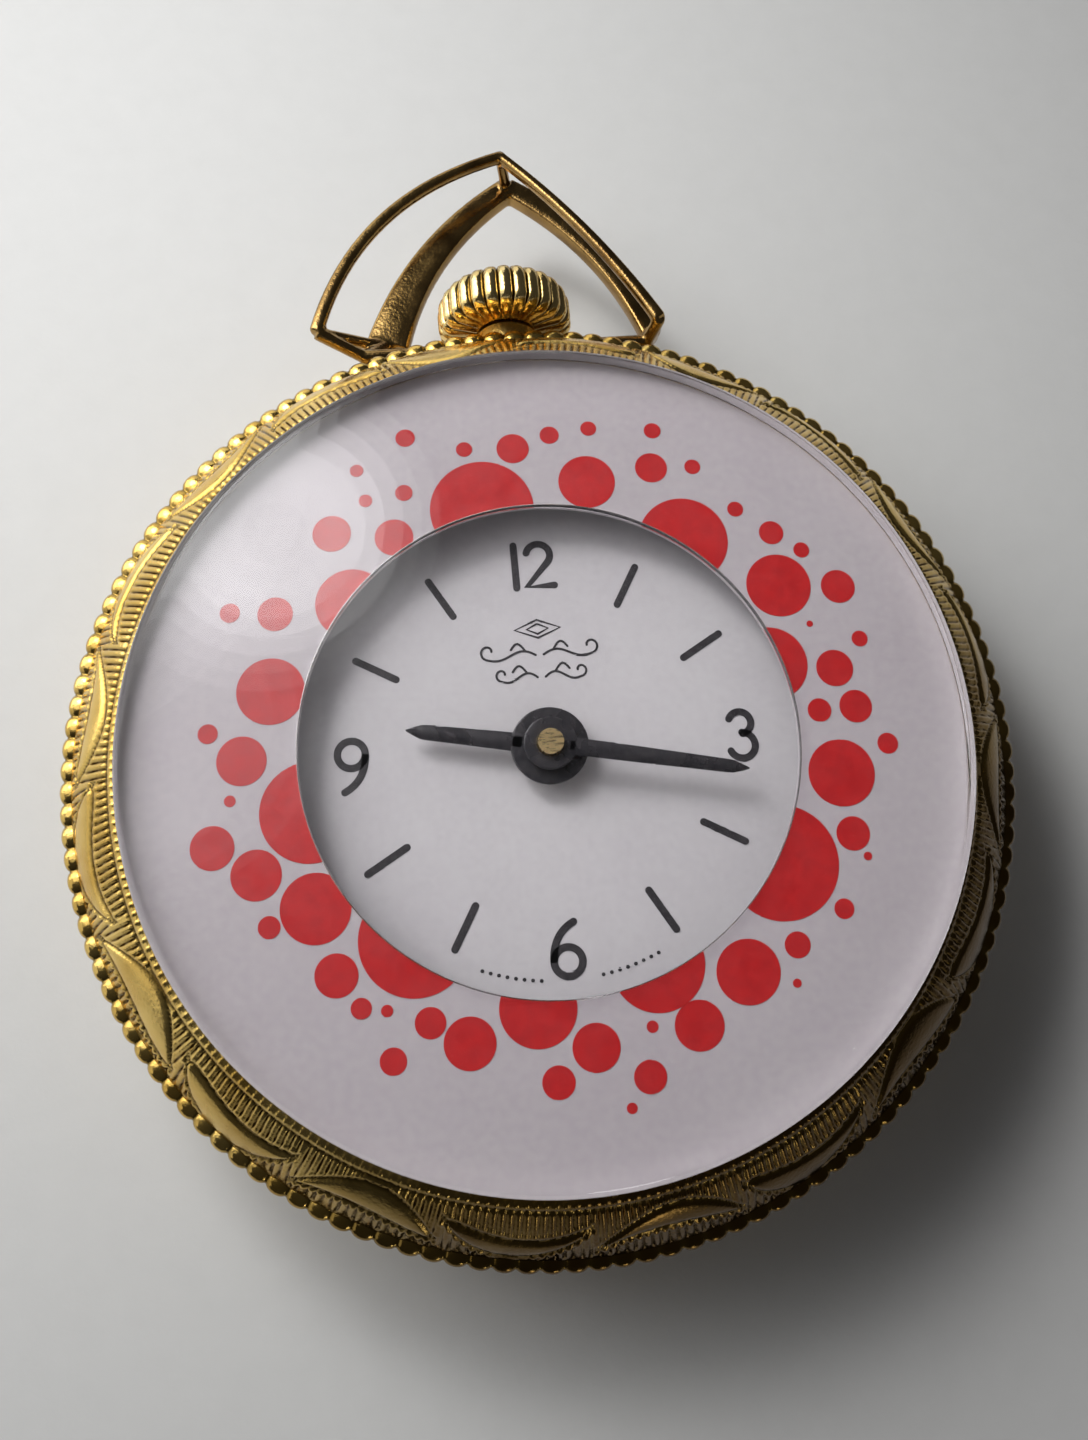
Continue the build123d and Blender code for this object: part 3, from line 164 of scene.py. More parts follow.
def turned(section, segments=SEGMENTS):
    """A closed section of (radius, height) turned about the dial's axis."""
    points, rings = [], []
    for radius, height in section:
        first = len(points)
        if radius < 1e-6:
            points.append((0, 0, height))
            rings.append([first] * segments)
        else:
            points += [(radius * cos(tau * i / segments), radius * sin(tau * i / segments), height)
                       for i in range(segments)]
            rings.append(list(range(first, first + segments)))
    return points, banded(rings, closed=True)


def wrapped(columns, rows, place):
    """A closed skin of columns by rows points that wraps round both ways."""
    points = [place(i, j) for i in range(columns) for j in range(rows)]
    faces = []
    for i in range(columns):
        after = (i + 1) % columns
        for j in range(rows):
            above = (j + 1) % rows
            faces.append((i * rows + j, after * rows + j, after * rows + above, i * rows + above))
    return points, faces


def prism(outline, bottom, top):
    """A flat plate with a convex or gently curved outline."""
    count = len(outline)
    points = [(x, y, bottom) for x, y in outline] + [(x, y, top) for x, y in outline]
    faces = [list(range(count)), list(range(count, 2 * count))]
    for i in range(count):
        j = (i + 1) % count
        faces.append((i, j, count + j, count + i))
    return points, faces


def ribbon(line, width, bottom, top):
    """A flat stroke of one width along plan points with round ends, or a loop if its ends meet."""
    loop = hypot(line[0][0] - line[-1][0], line[0][1] - line[-1][1]) < 1e-4
    line = line[:-1] if loop else line
    count = len(line)
    points, faces = [], []
    for i, (x, y) in enumerate(line):
        before = line[i - 1] if loop or i else line[i]
        after = line[(i + 1) % count] if loop or i < count - 1 else line[i]
        along = Vector((after[0] - before[0], after[1] - before[1])).normalized()
        side = Vector((-along.y, along.x)) * width / 2
        for height in (bottom, top):
            points += [(x + side.x, y + side.y, height), (x - side.x, y - side.y, height)]
    for i in range(count if loop else count - 1):
        a, b = 4 * i, 4 * ((i + 1) % count)
        for p, q in ((0, 1), (1, 3), (3, 2), (2, 0)):
            faces.append((a + p, a + q, b + q, b + p))
    shells = [(points, faces)]
    if not loop:
        faces += [(0, 1, 3, 2), tuple(4 * (count - 1) + p for p in (0, 1, 3, 2))]
        for x, y in (line[0], line[-1]):
            end = arc((x, y), width / 2, 0, 360, 20)[:-1]
            shells.append(prism(end, bottom, top - 0.001))
    return joined(*shells)


def arc(centre, radius, start, end, steps=24):
    """Plan points on an arc between two angles in degrees."""
    turns = [radians(start + (end - start) * k / steps) for k in range(steps + 1)]
    return [(centre[0] + radius * cos(turn), centre[1] + radius * sin(turn)) for turn in turns]


def at_clock(radius, angle):
    """The plan point at a radius and a clock angle in degrees from twelve."""
    return (radius * sin(radians(angle)), radius * cos(radians(angle)))


def shifted(line, offset, turn=0.0):
    """Plan points turned by degrees and moved."""
    c, s = cos(radians(turn)), sin(radians(turn))
    return [(offset[0] + (x * c - y * s), offset[1] + (x * s + y * c)) for x, y in line]


def smooth_step(value, start, end):
    """Rises smoothly from 0 at start to 1 at end."""
    t = min(1.0, max(0.0, (value - start) / (end - start)))
    return t * t * (3 - 2 * t)


# ---------------------------------------------------------------- materials

class Shader:
    """A Principled material with short calls for adding and linking nodes."""

    def __init__(self, name, **sockets):
        """A new material, with values for inputs of its Principled node set by name."""
        self.material = bpy.data.materials.new(name)
        self.material.use_nodes = True
        self.tree = self.material.node_tree
        self.principled = self.tree.nodes["Principled BSDF"]
        for socket, value in sockets.items():
            self.principled.inputs[socket.replace("_", " ")].default_value = value

    def node(self, kind, **settings):
        """A new node with input values or properties set by name."""
        made = self.tree.nodes.new(kind)
        for key, value in settings.items():
            if key in made.inputs:
                made.inputs[key].default_value = value
            else:
                setattr(made, key, value)
        return made

    def link(self, source, target):
        """Joins an output socket to an input socket."""
        self.tree.links.new(source, target)

    def place(self, stretch=(1, 1, 1)):
        """Object coordinates in metres, stretched."""
        here = self.node("ShaderNodeTexCoord")
        mapping = self.node("ShaderNodeMapping")
        mapping.inputs["Scale"].default_value = stretch
        self.link(here.outputs["Object"], mapping.inputs["Vector"])
        return mapping.outputs["Vector"]

    def noise(self, scale, detail=3.0, stretch=(1, 1, 1)):
        """A noise whose features are about 1/scale metres across."""
        made = self.node("ShaderNodeTexNoise", Scale=scale, Detail=detail)
        self.link(self.place(stretch), made.inputs["Vector"])
        return made.outputs["Fac"]

    def ramp(self, value, *stops):
        """Colours or greys at positions along a value."""
        made = self.node("ShaderNodeValToRGB")
        elements = made.color_ramp.elements
        for i, (position, colour) in enumerate(stops):
            element = elements[i] if i < 2 else elements.new(position)
            element.position = position
            element.color = (*colour, 1) if isinstance(colour, tuple) else (colour, colour, colour, 1)
        self.link(value, made.inputs["Fac"])
        return made.outputs["Color"]

    def mix(self, amount, first, second):
        """Two colours mixed by a linked or constant amount."""
        made = self.node("ShaderNodeMix", data_type="RGBA")
        for value, socket in ((amount, made.inputs[0]), (first, made.inputs[6]), (second, made.inputs[7])):
            if isinstance(value, bpy.types.NodeSocket):
                self.link(value, socket)
            else:
                socket.default_value = value if isinstance(value, float) else (*value, 1)
        return made.outputs[2]

    def feed(self, source, socket):
        """Joins an output socket to a named input of the Principled node."""
        self.link(source, self.principled.inputs[socket])

    def bump(self, height, depth):
        """A bump of a depth in millimetres."""
        made = self.node("ShaderNodeBump", Distance=depth * MM, Strength=1.0)
        self.link(height, made.inputs["Height"])
        self.link(made.outputs["Normal"], self.principled.inputs["Normal"])


GOLD_BRIGHT = (0.94, 0.66, 0.20)
GOLD_DEEP = (0.72, 0.44, 0.09)
# Painted shade: the dark brown the gold is mixed towards on its lower right, where the light falls off.
LOWER_RIGHT_SHADE = (0.11, 0.060, 0.012)


def gold(name, bright, deep, roughness=(0.16, 0.34), hollow=False, shaded_lower_right=False, grain=0.012):
    """Gold plating: uneven tone, fine pitting, painted shade in the hollows, and painted shade darkening
    the lower right.
    """
    shader = Shader(name, Metallic=1.0)
    colour = shader.mix(shader.ramp(shader.noise(420, 4), (0.35, 0.0), (0.7, 1.0)), bright, deep)
    if shaded_lower_right:
        # Painted shade: the gold darkens towards the lower right, standing in for the light falling off
        # there.
        parts = shader.node("ShaderNodeSeparateXYZ")
        shader.link(shader.place((30, -42, 1)), parts.inputs["Vector"])
        toward = shader.node("ShaderNodeMath", operation="ADD")
        shader.link(parts.outputs["X"], toward.inputs[0])
        shader.link(parts.outputs["Y"], toward.inputs[1])
        uneven = shader.node("ShaderNodeMath", operation="MULTIPLY_ADD")
        shader.link(shader.noise(300, 3), uneven.inputs[0])
        uneven.inputs[1].default_value = 0.35
        shader.link(toward.outputs[0], uneven.inputs[2])
        amount = shader.ramp(uneven.outputs[0], (0.20, 0.0), (0.80, 1.0))
        colour = shader.mix(amount, colour, LOWER_RIGHT_SHADE)
    if hollow:
        # Painted shade: points deep in a hollow are darkened, standing in for the light the hollow shuts
        # out.
        depth = shader.node("ShaderNodeAttribute", attribute_name="hollow")
        hollow_shade = shader.ramp(depth.outputs["Fac"], (0.05, 0.0), (0.75, 1.0))
        colour = shader.mix(hollow_shade, colour, tuple(0.22 * part for part in deep))
    shader.feed(colour, "Base Color")
    patches = shader.noise(1300, 3)
    shader.feed(shader.ramp(patches, (0.3, roughness[0]), (0.75, roughness[1])), "Roughness")
    shader.bump(shader.noise(7000, 2), grain)
    return shader.material


def brushed_metal(name, light, dark, roughness=0.3, direction=(1, 1, 1)):
    """Machined metal with a fine brushed grain along one direction."""
    shader = Shader(name, Metallic=1.0)
    lines = shader.noise(2200, 4, direction)
    shader.feed(shader.mix(lines, light, dark), "Base Color")
    shader.feed(shader.ramp(lines, (0.3, roughness - 0.1), (0.7, roughness + 0.12)), "Roughness")
    shader.bump(lines, 0.006)
    return shader.material


def painted(name, colour, shade, roughness=0.45, speckle=2600, depth=0.004, coat=0.0):
    """Paint or print with a faint mottle and an uneven skin."""
    shader = Shader(name, Coat_Weight=coat, Coat_Roughness=0.12)
    mottle = shader.ramp(shader.noise(speckle, 4), (0.35, 0.0), (0.72, 1.0))
    shader.feed(shader.mix(mottle, colour, shade), "Base Color")
    worn = shader.noise(900, 2)
    shader.feed(shader.ramp(worn, (0.3, roughness - 0.06), (0.7, roughness + 0.08)), "Roughness")
    shader.bump(shader.noise(5200, 3), depth)
    return shader.material


def clear_acrylic():
    """Polished acrylic with faint smears, which lets lamp light through to what it covers."""
    shader = Shader("clear_acrylic", Transmission_Weight=1.0, IOR=1.49)
    smears = shader.noise(260, 5, (1, 1, 0.4))
    shader.feed(shader.mix(shader.ramp(smears, (0.4, 0.0), (0.8, 1.0)), (0.985, 0.975, 0.985),
                           (0.95, 0.93, 0.95)), "Base Color")
    shader.feed(shader.ramp(smears, (0.42, 0.015), (0.8, 0.07)), "Roughness")
    scratches = shader.noise(1500, 2, (0.25, 3.2, 1))
    shader.bump(shader.ramp(scratches, (0.63, 0.0), (0.7, 1.0)), 0.0003)
    path = shader.node("ShaderNodeLightPath")
    through = shader.node("ShaderNodeBsdfTransparent")
    through.inputs["Color"].default_value = (0.95, 0.94, 0.95, 1)
    both = shader.node("ShaderNodeMixShader")
    shader.link(path.outputs["Is Shadow Ray"], both.inputs[0])
    shader.link(shader.principled.outputs[0], both.inputs[1])
    shader.link(through.outputs[0], both.inputs[2])
    shader.link(both.outputs[0], shader.tree.nodes["Material Output"].inputs["Surface"])
    return shader.material


engraved_gold = gold("engraved_gold", GOLD_BRIGHT, GOLD_DEEP, (0.14, 0.32), hollow=True, shaded_lower_right=True)
bead_gold = gold("bead_gold", GOLD_BRIGHT, GOLD_DEEP, (0.10, 0.24), hollow=True, shaded_lower_right=True)
polished_gold = gold("polished_gold", (0.96, 0.74, 0.33), (0.82, 0.56, 0.19), (0.10, 0.20), hollow=True)
case_gold = gold("case_gold", (0.84, 0.60, 0.24), (0.70, 0.46, 0.14), (0.20, 0.36))
# Painted shade: the bow is a darker copy of the gold, standing in for the dark surroundings it reflects.
shaded_bow_gold = gold("shaded_bow_gold", (0.44, 0.28, 0.10), (0.20, 0.115, 0.04), (0.12, 0.24))
brass = brushed_metal("gilt_brass", (0.86, 0.68, 0.36), (0.70, 0.52, 0.24), 0.28, (1, 6, 1))
steel = brushed_metal("ground_steel", (0.66, 0.67, 0.70), (0.44, 0.45, 0.48), 0.26, (6, 1, 1))
spacer_plastic = painted("spacer_plastic", (0.60, 0.60, 0.56), (0.50, 0.50, 0.47), 0.5)
white_print = painted("white_print", (0.40, 0.375, 0.385), (0.37, 0.345, 0.36), 0.5, 3200, 0.003)
red_ink = painted("red_ink", (0.42, 0.008, 0.009), (0.35, 0.006, 0.008), 0.4, 2600, 0.004)
dial_white = painted("dial_white", (0.52, 0.515, 0.52), (0.49, 0.48, 0.49), 0.42, 4200, 0.003)
black_ink = painted("black_ink", (0.012, 0.011, 0.013), (0.035, 0.032, 0.035), 0.45, 5200, 0.003)
black_lacquer = painted("black_lacquer", (0.010, 0.010, 0.012), (0.028, 0.026, 0.028), 0.28, 3800, 0.006,
                        coat=0.6)
crystal_clear = clear_acrylic()

SLOT_MATERIALS = {"gold_case": case_gold, "clear_crystal": crystal_clear, "print_ring": white_print,
                  "white_dial": dial_white, "black_lacquer": black_lacquer, "spacer": spacer_plastic,
                  "brass": brass, "steel": steel}


def finish_cad_nodes():
    """Each carried-over CAD node gets the procedural finish of its material slot."""
    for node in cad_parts.values():
        for held in node.material_slots:
            slot_name = held.material.name.split(".")[0]
            held.material = SLOT_MATERIALS[slot_name]


def mark_hollows(piece, depths):
    """Stores how deep in a hollow each point lies, from 0 to 1, for the painted shade in the hollows."""
    layer = piece.data.attributes.new("hollow", "FLOAT", "POINT")
    layer.data.foreach_set("value", depths)


# ---------------------------------------------------------------- bezel

SLOPE_START = (17.5, 6.55)
SLOPE_ROWS = 31
BAND_BULGE = 0.2
SLOPE_SAMPLES = 7 * HATCH_COUNT
SEAT_GAP = 0.03
LIP_ROUNDING = 0.04
LEDGE_BEVEL = 0.4
BAND_FOOT_RADIUS = 17.1
BAND_SIDE = (17.45, 5.9)


def leaf_height(turn, across):
    """One smooth leaf of the running scroll: its height and how much of the ground it covers."""
    stretch = turn * LEAF_COUNT / 360
    count = floor(stretch)
    side = 1 if count % 2 else -1
    along = 2 * (stretch - count) - 1
    size = 1 + 0.3 * sin(5.3 * count)
    spine = 0.42 + side * (0.16 - 0.38 * along * along)
    fullness = max(0.0, 1 - (along / 0.9) ** 2) ** 0.7
    half_width = 0.02 + 0.19 * size * fullness * (1 + 0.45 * side * along)
    beyond = abs(across - spine) - half_width
    dome = 0.06 * sqrt(max(0.0, 1 - min(1.0, ((across - spine) / half_width) ** 2)))
    groove = -0.06 * exp(-(beyond / 0.03) ** 2)
    edge_line = 0.03 * exp(-((beyond - 0.07) / 0.026) ** 2)
    cover = 1 - smooth_step(beyond, 0.03, 0.08)
    return dome + groove + edge_line, cover


def engraving(turn, across):
    """How far the band stands out in millimetres, at a turn in degrees and a share of its width."""
    leaf, cover = leaf_height(turn, across)
    stretch = turn * LEAF_COUNT / 360
    lean = 2.4 * sin(2.7 * floor(stretch)) * (across - 0.5)
    hatch = 0.02 - 0.11 * (1 - abs(cos(radians(turn) * HATCH_COUNT / 2 + lean)) ** 0.55)
    field = smooth_step(across, 0.03, 0.08) * (1 - smooth_step(across, 0.84, 0.88))
    border = smooth_step(across, 0.89, 0.92) * (1 - smooth_step(across, 0.98, 1.0))
    serration = 0.02 + 0.045 * max(0.0, cos(radians(turn) * SERRATION_COUNT)) ** 0.8
    edge_groove = -0.06 * exp(-((across - 0.88) / 0.018) ** 2)
    return field * (leaf + (1 - cover) * hatch) + border * serration + edge_groove


def make_engraved_band():
    """The engraved band of the bezel with its serrated inner border and the ledge under the crystal."""
    start, end = Vector(SLOPE_START), Vector((BEZEL_EDGE_RADIUS, BEZEL_TOP))
    outward = Vector((end.y - start.y, start.x - end.x)).normalized()
    wall = CRYSTAL_RADIUS + SEAT_GAP
    under = [(wall, BEZEL_TOP - LIP_ROUNDING), (wall, RING_FOOT), (LEDGE_RADIUS, RING_FOOT),
             (LEDGE_RADIUS, BEZEL_BOTTOM + LEDGE_BEVEL), (wall, BEZEL_BOTTOM),
             (BAND_FOOT_RADIUS, BEZEL_BOTTOM), BAND_SIDE]
    rows = SLOPE_ROWS + 1 + len(under)
    depths = []

    def place(i, j):
        """The point at a step round the band and a row across it."""
        turn = 360 * i / SLOPE_SAMPLES
        c, s = cos(radians(turn)), sin(radians(turn))
        if j > SLOPE_ROWS:
            radius, height = under[j - SLOPE_ROWS - 1]
            depths.append(0.0)
            return (radius * c, radius * s, height)
        across = j / SLOPE_ROWS
        stand = engraving(turn, across)
        depths.append(min(1.0, max(0.0, (0.01 - stand) / 0.07)))
        spot = start.lerp(end, across) + outward * (stand + BAND_BULGE * 4 * across * (1 - across))
        return (spot.x * c, spot.x * s, spot.y)

    points, faces = wrapped(SLOPE_SAMPLES, rows, place)
    band = add_piece("bezel_engraved_band", points, faces, engraved_gold, "root",
                     ["bezel"], 50)
    mark_hollows(band, depths)


BEAD_SAMPLES = 14
BEAD_ROWS = 20
RIM_CENTRE = (17.5, 6.14)
BEAD_OUT, BEAD_UP = 0.5, 0.46
# The bead's section at its ends as a share of its middle, and how square the section is.
CORE_SHARE = 0.56
BEAD_SQUARENESS = 2.8


def make_beaded_rim():
    """The milled edge: a string of short rounded beads round the rim."""
    depths = []

    def place(i, j):
        """The point at a step round the rim and a step round a bead's section."""
        turn = tau * i / (BEAD_COUNT * BEAD_SAMPLES)
        along = 2 * ((i % BEAD_SAMPLES) + 0.5) / BEAD_SAMPLES - 1
        swell = sqrt(1 - (0.98 * along) ** 2)
        share = CORE_SHARE + (1 - CORE_SHARE) * swell
        # Painted shade: the narrow gaps between beads count as hollows and are darkened.
        depths.append(1 - swell)
        c, s = cos(tau * j / BEAD_ROWS), sin(tau * j / BEAD_ROWS)
        squared = share * (abs(c) ** BEAD_SQUARENESS + abs(s) ** BEAD_SQUARENESS) ** (-1 / BEAD_SQUARENESS)
        radius = RIM_CENTRE[0] + BEAD_OUT * squared * c
        height = RIM_CENTRE[1] + BEAD_UP * squared * s
        return (radius * cos(turn), radius * sin(turn), height)

    points, faces = wrapped(BEAD_COUNT * BEAD_SAMPLES, BEAD_ROWS, place)
    rim = add_piece("bezel_beaded_rim", points, faces, bead_gold, "root", ["bezel"], 80)
    mark_hollows(rim, depths)


# ---------------------------------------------------------------- crystal and printed ring

# How far below the shoulder the crystal's wall gets its last ring of points.
WALL_STEP = 0.2


def dome(radius, rise, top, steps):
    """Section points over a shallow dome from its edge to the axis."""
    ball = (radius ** 2 + rise ** 2) / (2 * rise)
    across = [radius * (1 - k / steps) for k in range(steps + 1)]
    return [(r, top - ball + sqrt(ball ** 2 - r ** 2)) for r in across]


def make_crystal():
    """The thick domed crystal with its rounded shoulder, bored from below to clear the hands."""
    rise = CRYSTAL_TOP - CRYSTAL_SHOULDER_Z
    top = dome(CRYSTAL_SHOULDER_RADIUS, rise, CRYSTAL_TOP, 24)
    reach = CRYSTAL_RADIUS - CRYSTAL_SHOULDER_RADIUS
    drop = CRYSTAL_SHOULDER_Z - CRYSTAL_WALL_TOP
    shoulder = [(CRYSTAL_SHOULDER_RADIUS + reach * cos(pi / 2 * k / 10),
                 CRYSTAL_WALL_TOP + drop * sin(pi / 2 * k / 10)) for k in range(10)]
    bore = softened([(0, APERTURE_CEILING), (APERTURE_RADIUS, APERTURE_CEILING),
                     (APERTURE_RADIUS, PRINT_TOP), (CRYSTAL_RADIUS, PRINT_TOP),
                     (CRYSTAL_RADIUS, CRYSTAL_WALL_TOP - WALL_STEP)], 0.05)
    points, faces = turned(shoulder + top + bore)
    add_piece("crystal_dome", points, faces, crystal_clear, "root", ["crystal"], 30)


RING_GAP = 0.03
# The printed dots as (clock angle, radius, size); those nearest the middle are cut by the opening.
DOTS = ((349, 9.0, 1.9), (13, 9.9, 1.05), (38, 9.0, 1.65), (60, 10.2, 1.2), (75, 8.4, 1.35),
        (101, 10.3, 1.2), (123, 9.0, 2.0), (145, 10.3, 1.1), (160, 8.4, 1.6), (188, 9.05, 1.3),
        (219, 8.2, 1.9), (239, 9.8, 1.2), (258, 8.6, 1.75), (285, 9.95, 1.2), (310, 8.65, 1.3),
        (328, 9.4, 0.7), (319, 11.0, 0.7), (340, 12.7, 0.36), (330, 12.4, 0.25), (328, 11.2, 0.25),
        (335, 10.7, 0.32), (349, 11.5, 0.3), (358, 11.2, 0.6), (5, 11.7, 0.36), (12, 12.1, 0.3),
        (23, 12.6, 0.32), (25, 11.1, 0.6), (32, 11.8, 0.3), (43, 11.2, 0.3), (51, 11.4, 0.46),
        (57, 11.8, 0.3), (66, 12.1, 0.64), (70, 10.4, 0.12), (76, 11.9, 0.3), (80, 10.6, 0.68),
        (88, 11.0, 0.6), (88, 9.65, 0.43), (95, 12.0, 0.38), (112, 11.0, 0.6), (115, 11.7, 0.15),
        (125, 11.6, 0.35), (135, 10.9, 0.45), (140, 11.7, 0.15), (158, 10.8, 0.84), (166, 10.2, 0.2),
        (169, 11.7, 0.55), (173, 12.5, 0.18), (177, 10.4, 0.8), (184, 11.4, 0.55), (200, 10.5, 0.87),
        (208, 10.3, 0.52), (211, 11.9, 0.45), (216, 10.6, 0.2), (220, 11.0, 0.35), (227, 10.7, 0.73),
        (241, 11.4, 0.38), (250, 11.0, 0.87), (257, 12.1, 0.76), (264, 11.2, 0.2), (271, 10.7, 0.87),
        (276, 11.9, 0.35), (300, 10.8, 0.63), (297, 12.3, 0.36))


def dot_outline(radius, angle, size, steps=40):
    """A dot's outline, cut off where it runs into the opening."""
    if radius - size >= APERTURE_RADIUS:
        outline = arc((radius, 0), size, 0, 360, steps)[:-1]
    else:
        limit = APERTURE_RADIUS + 0.01
        opened = (radius ** 2 + limit ** 2 - size ** 2) / (2 * radius * limit)
        half = asin(sqrt(1 - opened ** 2))
        ends = atan2(limit * sin(half), limit * cos(half) - radius) * 180 / pi
        inner = arc((0, 0), limit, half * 180 / pi, -half * 180 / pi, 16)
        outline = arc((radius, 0), size, -ends, ends, steps) + inner[1:-1]
    return shifted(outline, (0, 0), 90 - angle)


def make_printed_ring():
    """The white ring under the crystal with its red dots, which shrink towards the edge."""
    top = PRINT_TOP - RING_GAP
    section = softened([(APERTURE_RADIUS, PRINT_BOTTOM), (CARRIER_RIM_RADIUS, PRINT_BOTTOM),
                        (CARRIER_RIM_RADIUS, RING_FOOT), (PRINT_RADIUS, RING_FOOT), (PRINT_RADIUS, top),
                        (APERTURE_RADIUS, top)], 0.03)
    points, faces = turned(section)
    add_piece("printed_ring_white", points, faces, white_print, "root", ["printed_ring"])
    dots = [prism(dot_outline(radius, angle, size), top - INK, top + INK) for angle, radius, size in DOTS]
    points, faces = joined(*dots)
    add_piece("printed_dots", points, faces, red_ink, "root")


# ---------------------------------------------------------------- dial

NUMERAL_STROKE = 0.27
NUMERAL_RADIUS = 7.1
BAR_RANGE = (6.15, 7.8)
BAR_WIDTH = 0.27
DIAL_HOLE_RADIUS = 0.78
ORNAMENT_STROKE = 0.085
# The small dots beside the six: where each row starts, the step between dots, their ring and their size.
FINE_STARTS = (157, 187)
FINE_STEP = 2.1
FINE_RADIUS = 8.15
FINE_SIZE = 0.07


def numerals():
    """The strokes of 12, 3, 6 and 9, each about its own centre."""
    one = [(-0.62, 0.85), (-0.62, -0.85)]
    two = arc((0.28, 0.40), 0.45, 165, -38, 20) + [(-0.22, -0.83), (0.80, -0.83)]
    three = [arc((0, 0.44), 0.42, 155, -80, 20), arc((0, -0.40), 0.48, 85, -158, 22)]
    bowl = arc((0, -0.42), 0.50, 0, 360, 36)
    tail = [(-0.5 * (1 - t) ** 2 - 0.98 * t * (1 - t) + 0.30 * t * t,
             -0.42 * (1 - t) ** 2 + 1.10 * t * (1 - t) + 0.93 * t * t) for t in (k / 16 for k in range(17))]
    upside_down = [shifted(line, (0, 0), 180) for line in (bowl, tail)]
    return {0: [one, two], 90: three, 180: [bowl, tail], 270: upside_down}


def ornament():
    """A plain printed flourish: a small open lozenge over two pairs of mirrored tendrils."""
    lines = [[(0, 4.95), (0.85, 4.6), (0, 4.25), (-0.85, 4.6), (0, 4.95)],
             [(0, 4.8), (0.4, 4.6), (0, 4.4), (-0.4, 4.6), (0, 4.8)]]
    for height, reach, curl in ((3.6, 1.75, 0.32), (2.75, 1.3, 0.26)):
        stem = [(0.15 + reach * t, height + 0.2 * sin(5.5 * t) * (1 - 0.4 * t))
                for t in (k / 20 for k in range(21))]
        tip = stem[-1]
        spiral = [(tip[0] + curl * (1 - 0.6 * t) * sin(4.6 * t),
                   tip[1] + curl * (1 - (1 - 0.6 * t) * cos(4.6 * t)))
                  for t in (k / 18 for k in range(1, 19))]
        leaf = [(0.55 + 0.5 * t, height + 0.22 + 0.25 * sin(3.0 * t)) for t in (k / 8 for k in range(9))]
        for line in (stem + spiral, leaf):
            lines += [line, [(-x, y) for x, y in line]]
    return lines


def fine_marks():
    """Two rows of small printed dots on either side of the six."""
    marks = []
    for start in FINE_STARTS:
        for k in range(8):
            marks.append(arc(at_clock(FINE_RADIUS, start + FINE_STEP * k), FINE_SIZE, 0, 360, 10)[:-1])
    return marks


def make_dial():
    """The white dial with its printed figures and hour bars."""
    section = softened([(DIAL_HOLE_RADIUS, DIAL_BOTTOM), (DIAL_RADIUS, DIAL_BOTTOM),
                        (DIAL_RADIUS, DIAL_TOP), (DIAL_HOLE_RADIUS, DIAL_TOP)], 0.05)
    points, faces = turned(section)
    add_piece("dial_plate", points, faces, dial_white, "root", ["dial"])
    level = (DIAL_TOP - INK, DIAL_TOP + INK)
    strokes = []
    for angle, lines in numerals().items():
        for line in lines:
            strokes.append(ribbon(shifted(line, at_clock(NUMERAL_RADIUS, angle)), NUMERAL_STROKE, *level))
    for hour in range(12):
        if hour % 3:
            ends = [at_clock(radius, 30 * hour) for radius in BAR_RANGE]
            strokes.append(ribbon(ends, BAR_WIDTH, *level))
    points, faces = joined(*strokes)
    add_piece("dial_figures", points, faces, black_ink, "root")
    points, faces = joined(*(ribbon(line, ORNAMENT_STROKE, *level) for line in ornament()),
                           *(prism(mark, *level) for mark in fine_marks()))
    add_piece("dial_ornament", points, faces, black_ink, "root")


# ---------------------------------------------------------------- hands

def blade(stations, angle, bottom, top):
    """A bevelled hand along a clock angle, from (distance, half width) stations to a point."""
    across_direction = at_clock(1, angle + 90)
    along_direction = at_clock(1, angle)
    edge = bottom + 0.55 * (top - bottom)
    profile = ((-1, bottom), (-1, edge), (-0.55, top), (0.55, top), (1, edge), (1, bottom))
    points, faces = [], []
    for distance, half_width in stations:
        for share, height in profile:
            x = along_direction[0] * distance + across_direction[0] * half_width * share
            y = along_direction[1] * distance + across_direction[1] * half_width * share
            points.append((x, y, height))
    count = len(profile)
    for i in range(len(stations) - 1):
        for j in range(count):
            k = (j + 1) % count
            faces.append((count * i + j, count * i + k, count * (i + 1) + k, count * (i + 1) + j))
    faces += [list(range(count)), list(range(len(points) - count, len(points)))]
    return points, faces


def hub(outer, inner, bottom, top):
    """A round hub with a rolled edge."""
    return turned(softened([(inner, bottom), (outer, bottom), (outer, top), (inner, top)], 0.06), 96)


HOUR_ANGLE = 281.0
MINUTE_ANGLE = 102.0
HOUR_LENGTH = 5.15
MINUTE_LENGTH = 7.1
# Each hand's hub as (outer radius, bore radius).
HOUR_HUB = (1.4, 0.73)
MINUTE_HUB = (0.95, 0.47)


def make_hands():
    """The two black lacquered hands."""
    level = (HOUR_HAND_Z, HOUR_HAND_TOP)
    leaf = blade([(1.0, 0.34), (2.4, 0.31), (4.45, 0.27), (4.62, 0.25), (4.92, 0.13),
                  (HOUR_LENGTH, 0.02)], HOUR_ANGLE, *level)
    points, faces = joined(leaf, hub(*HOUR_HUB, *level))
    add_piece("hour_hand_lacquered", points, faces, black_lacquer, "hour_hand",
              ["hour_hand"])
    level = (MINUTE_HAND_Z, MINUTE_HAND_TOP)
    slim = blade([(0.7, 0.31), (3.0, 0.29), (6.3, 0.24), (6.55, 0.22), (6.9, 0.11),
                  (MINUTE_LENGTH, 0.02)], MINUTE_ANGLE, *level)
    points, faces = joined(slim, hub(*MINUTE_HUB, *level))
    add_piece("minute_hand_lacquered", points, faces, black_lacquer, "minute_hand",
              ["minute_hand"])


# ---------------------------------------------------------------- crown and bow

FLUTE_DEPTH = 0.26


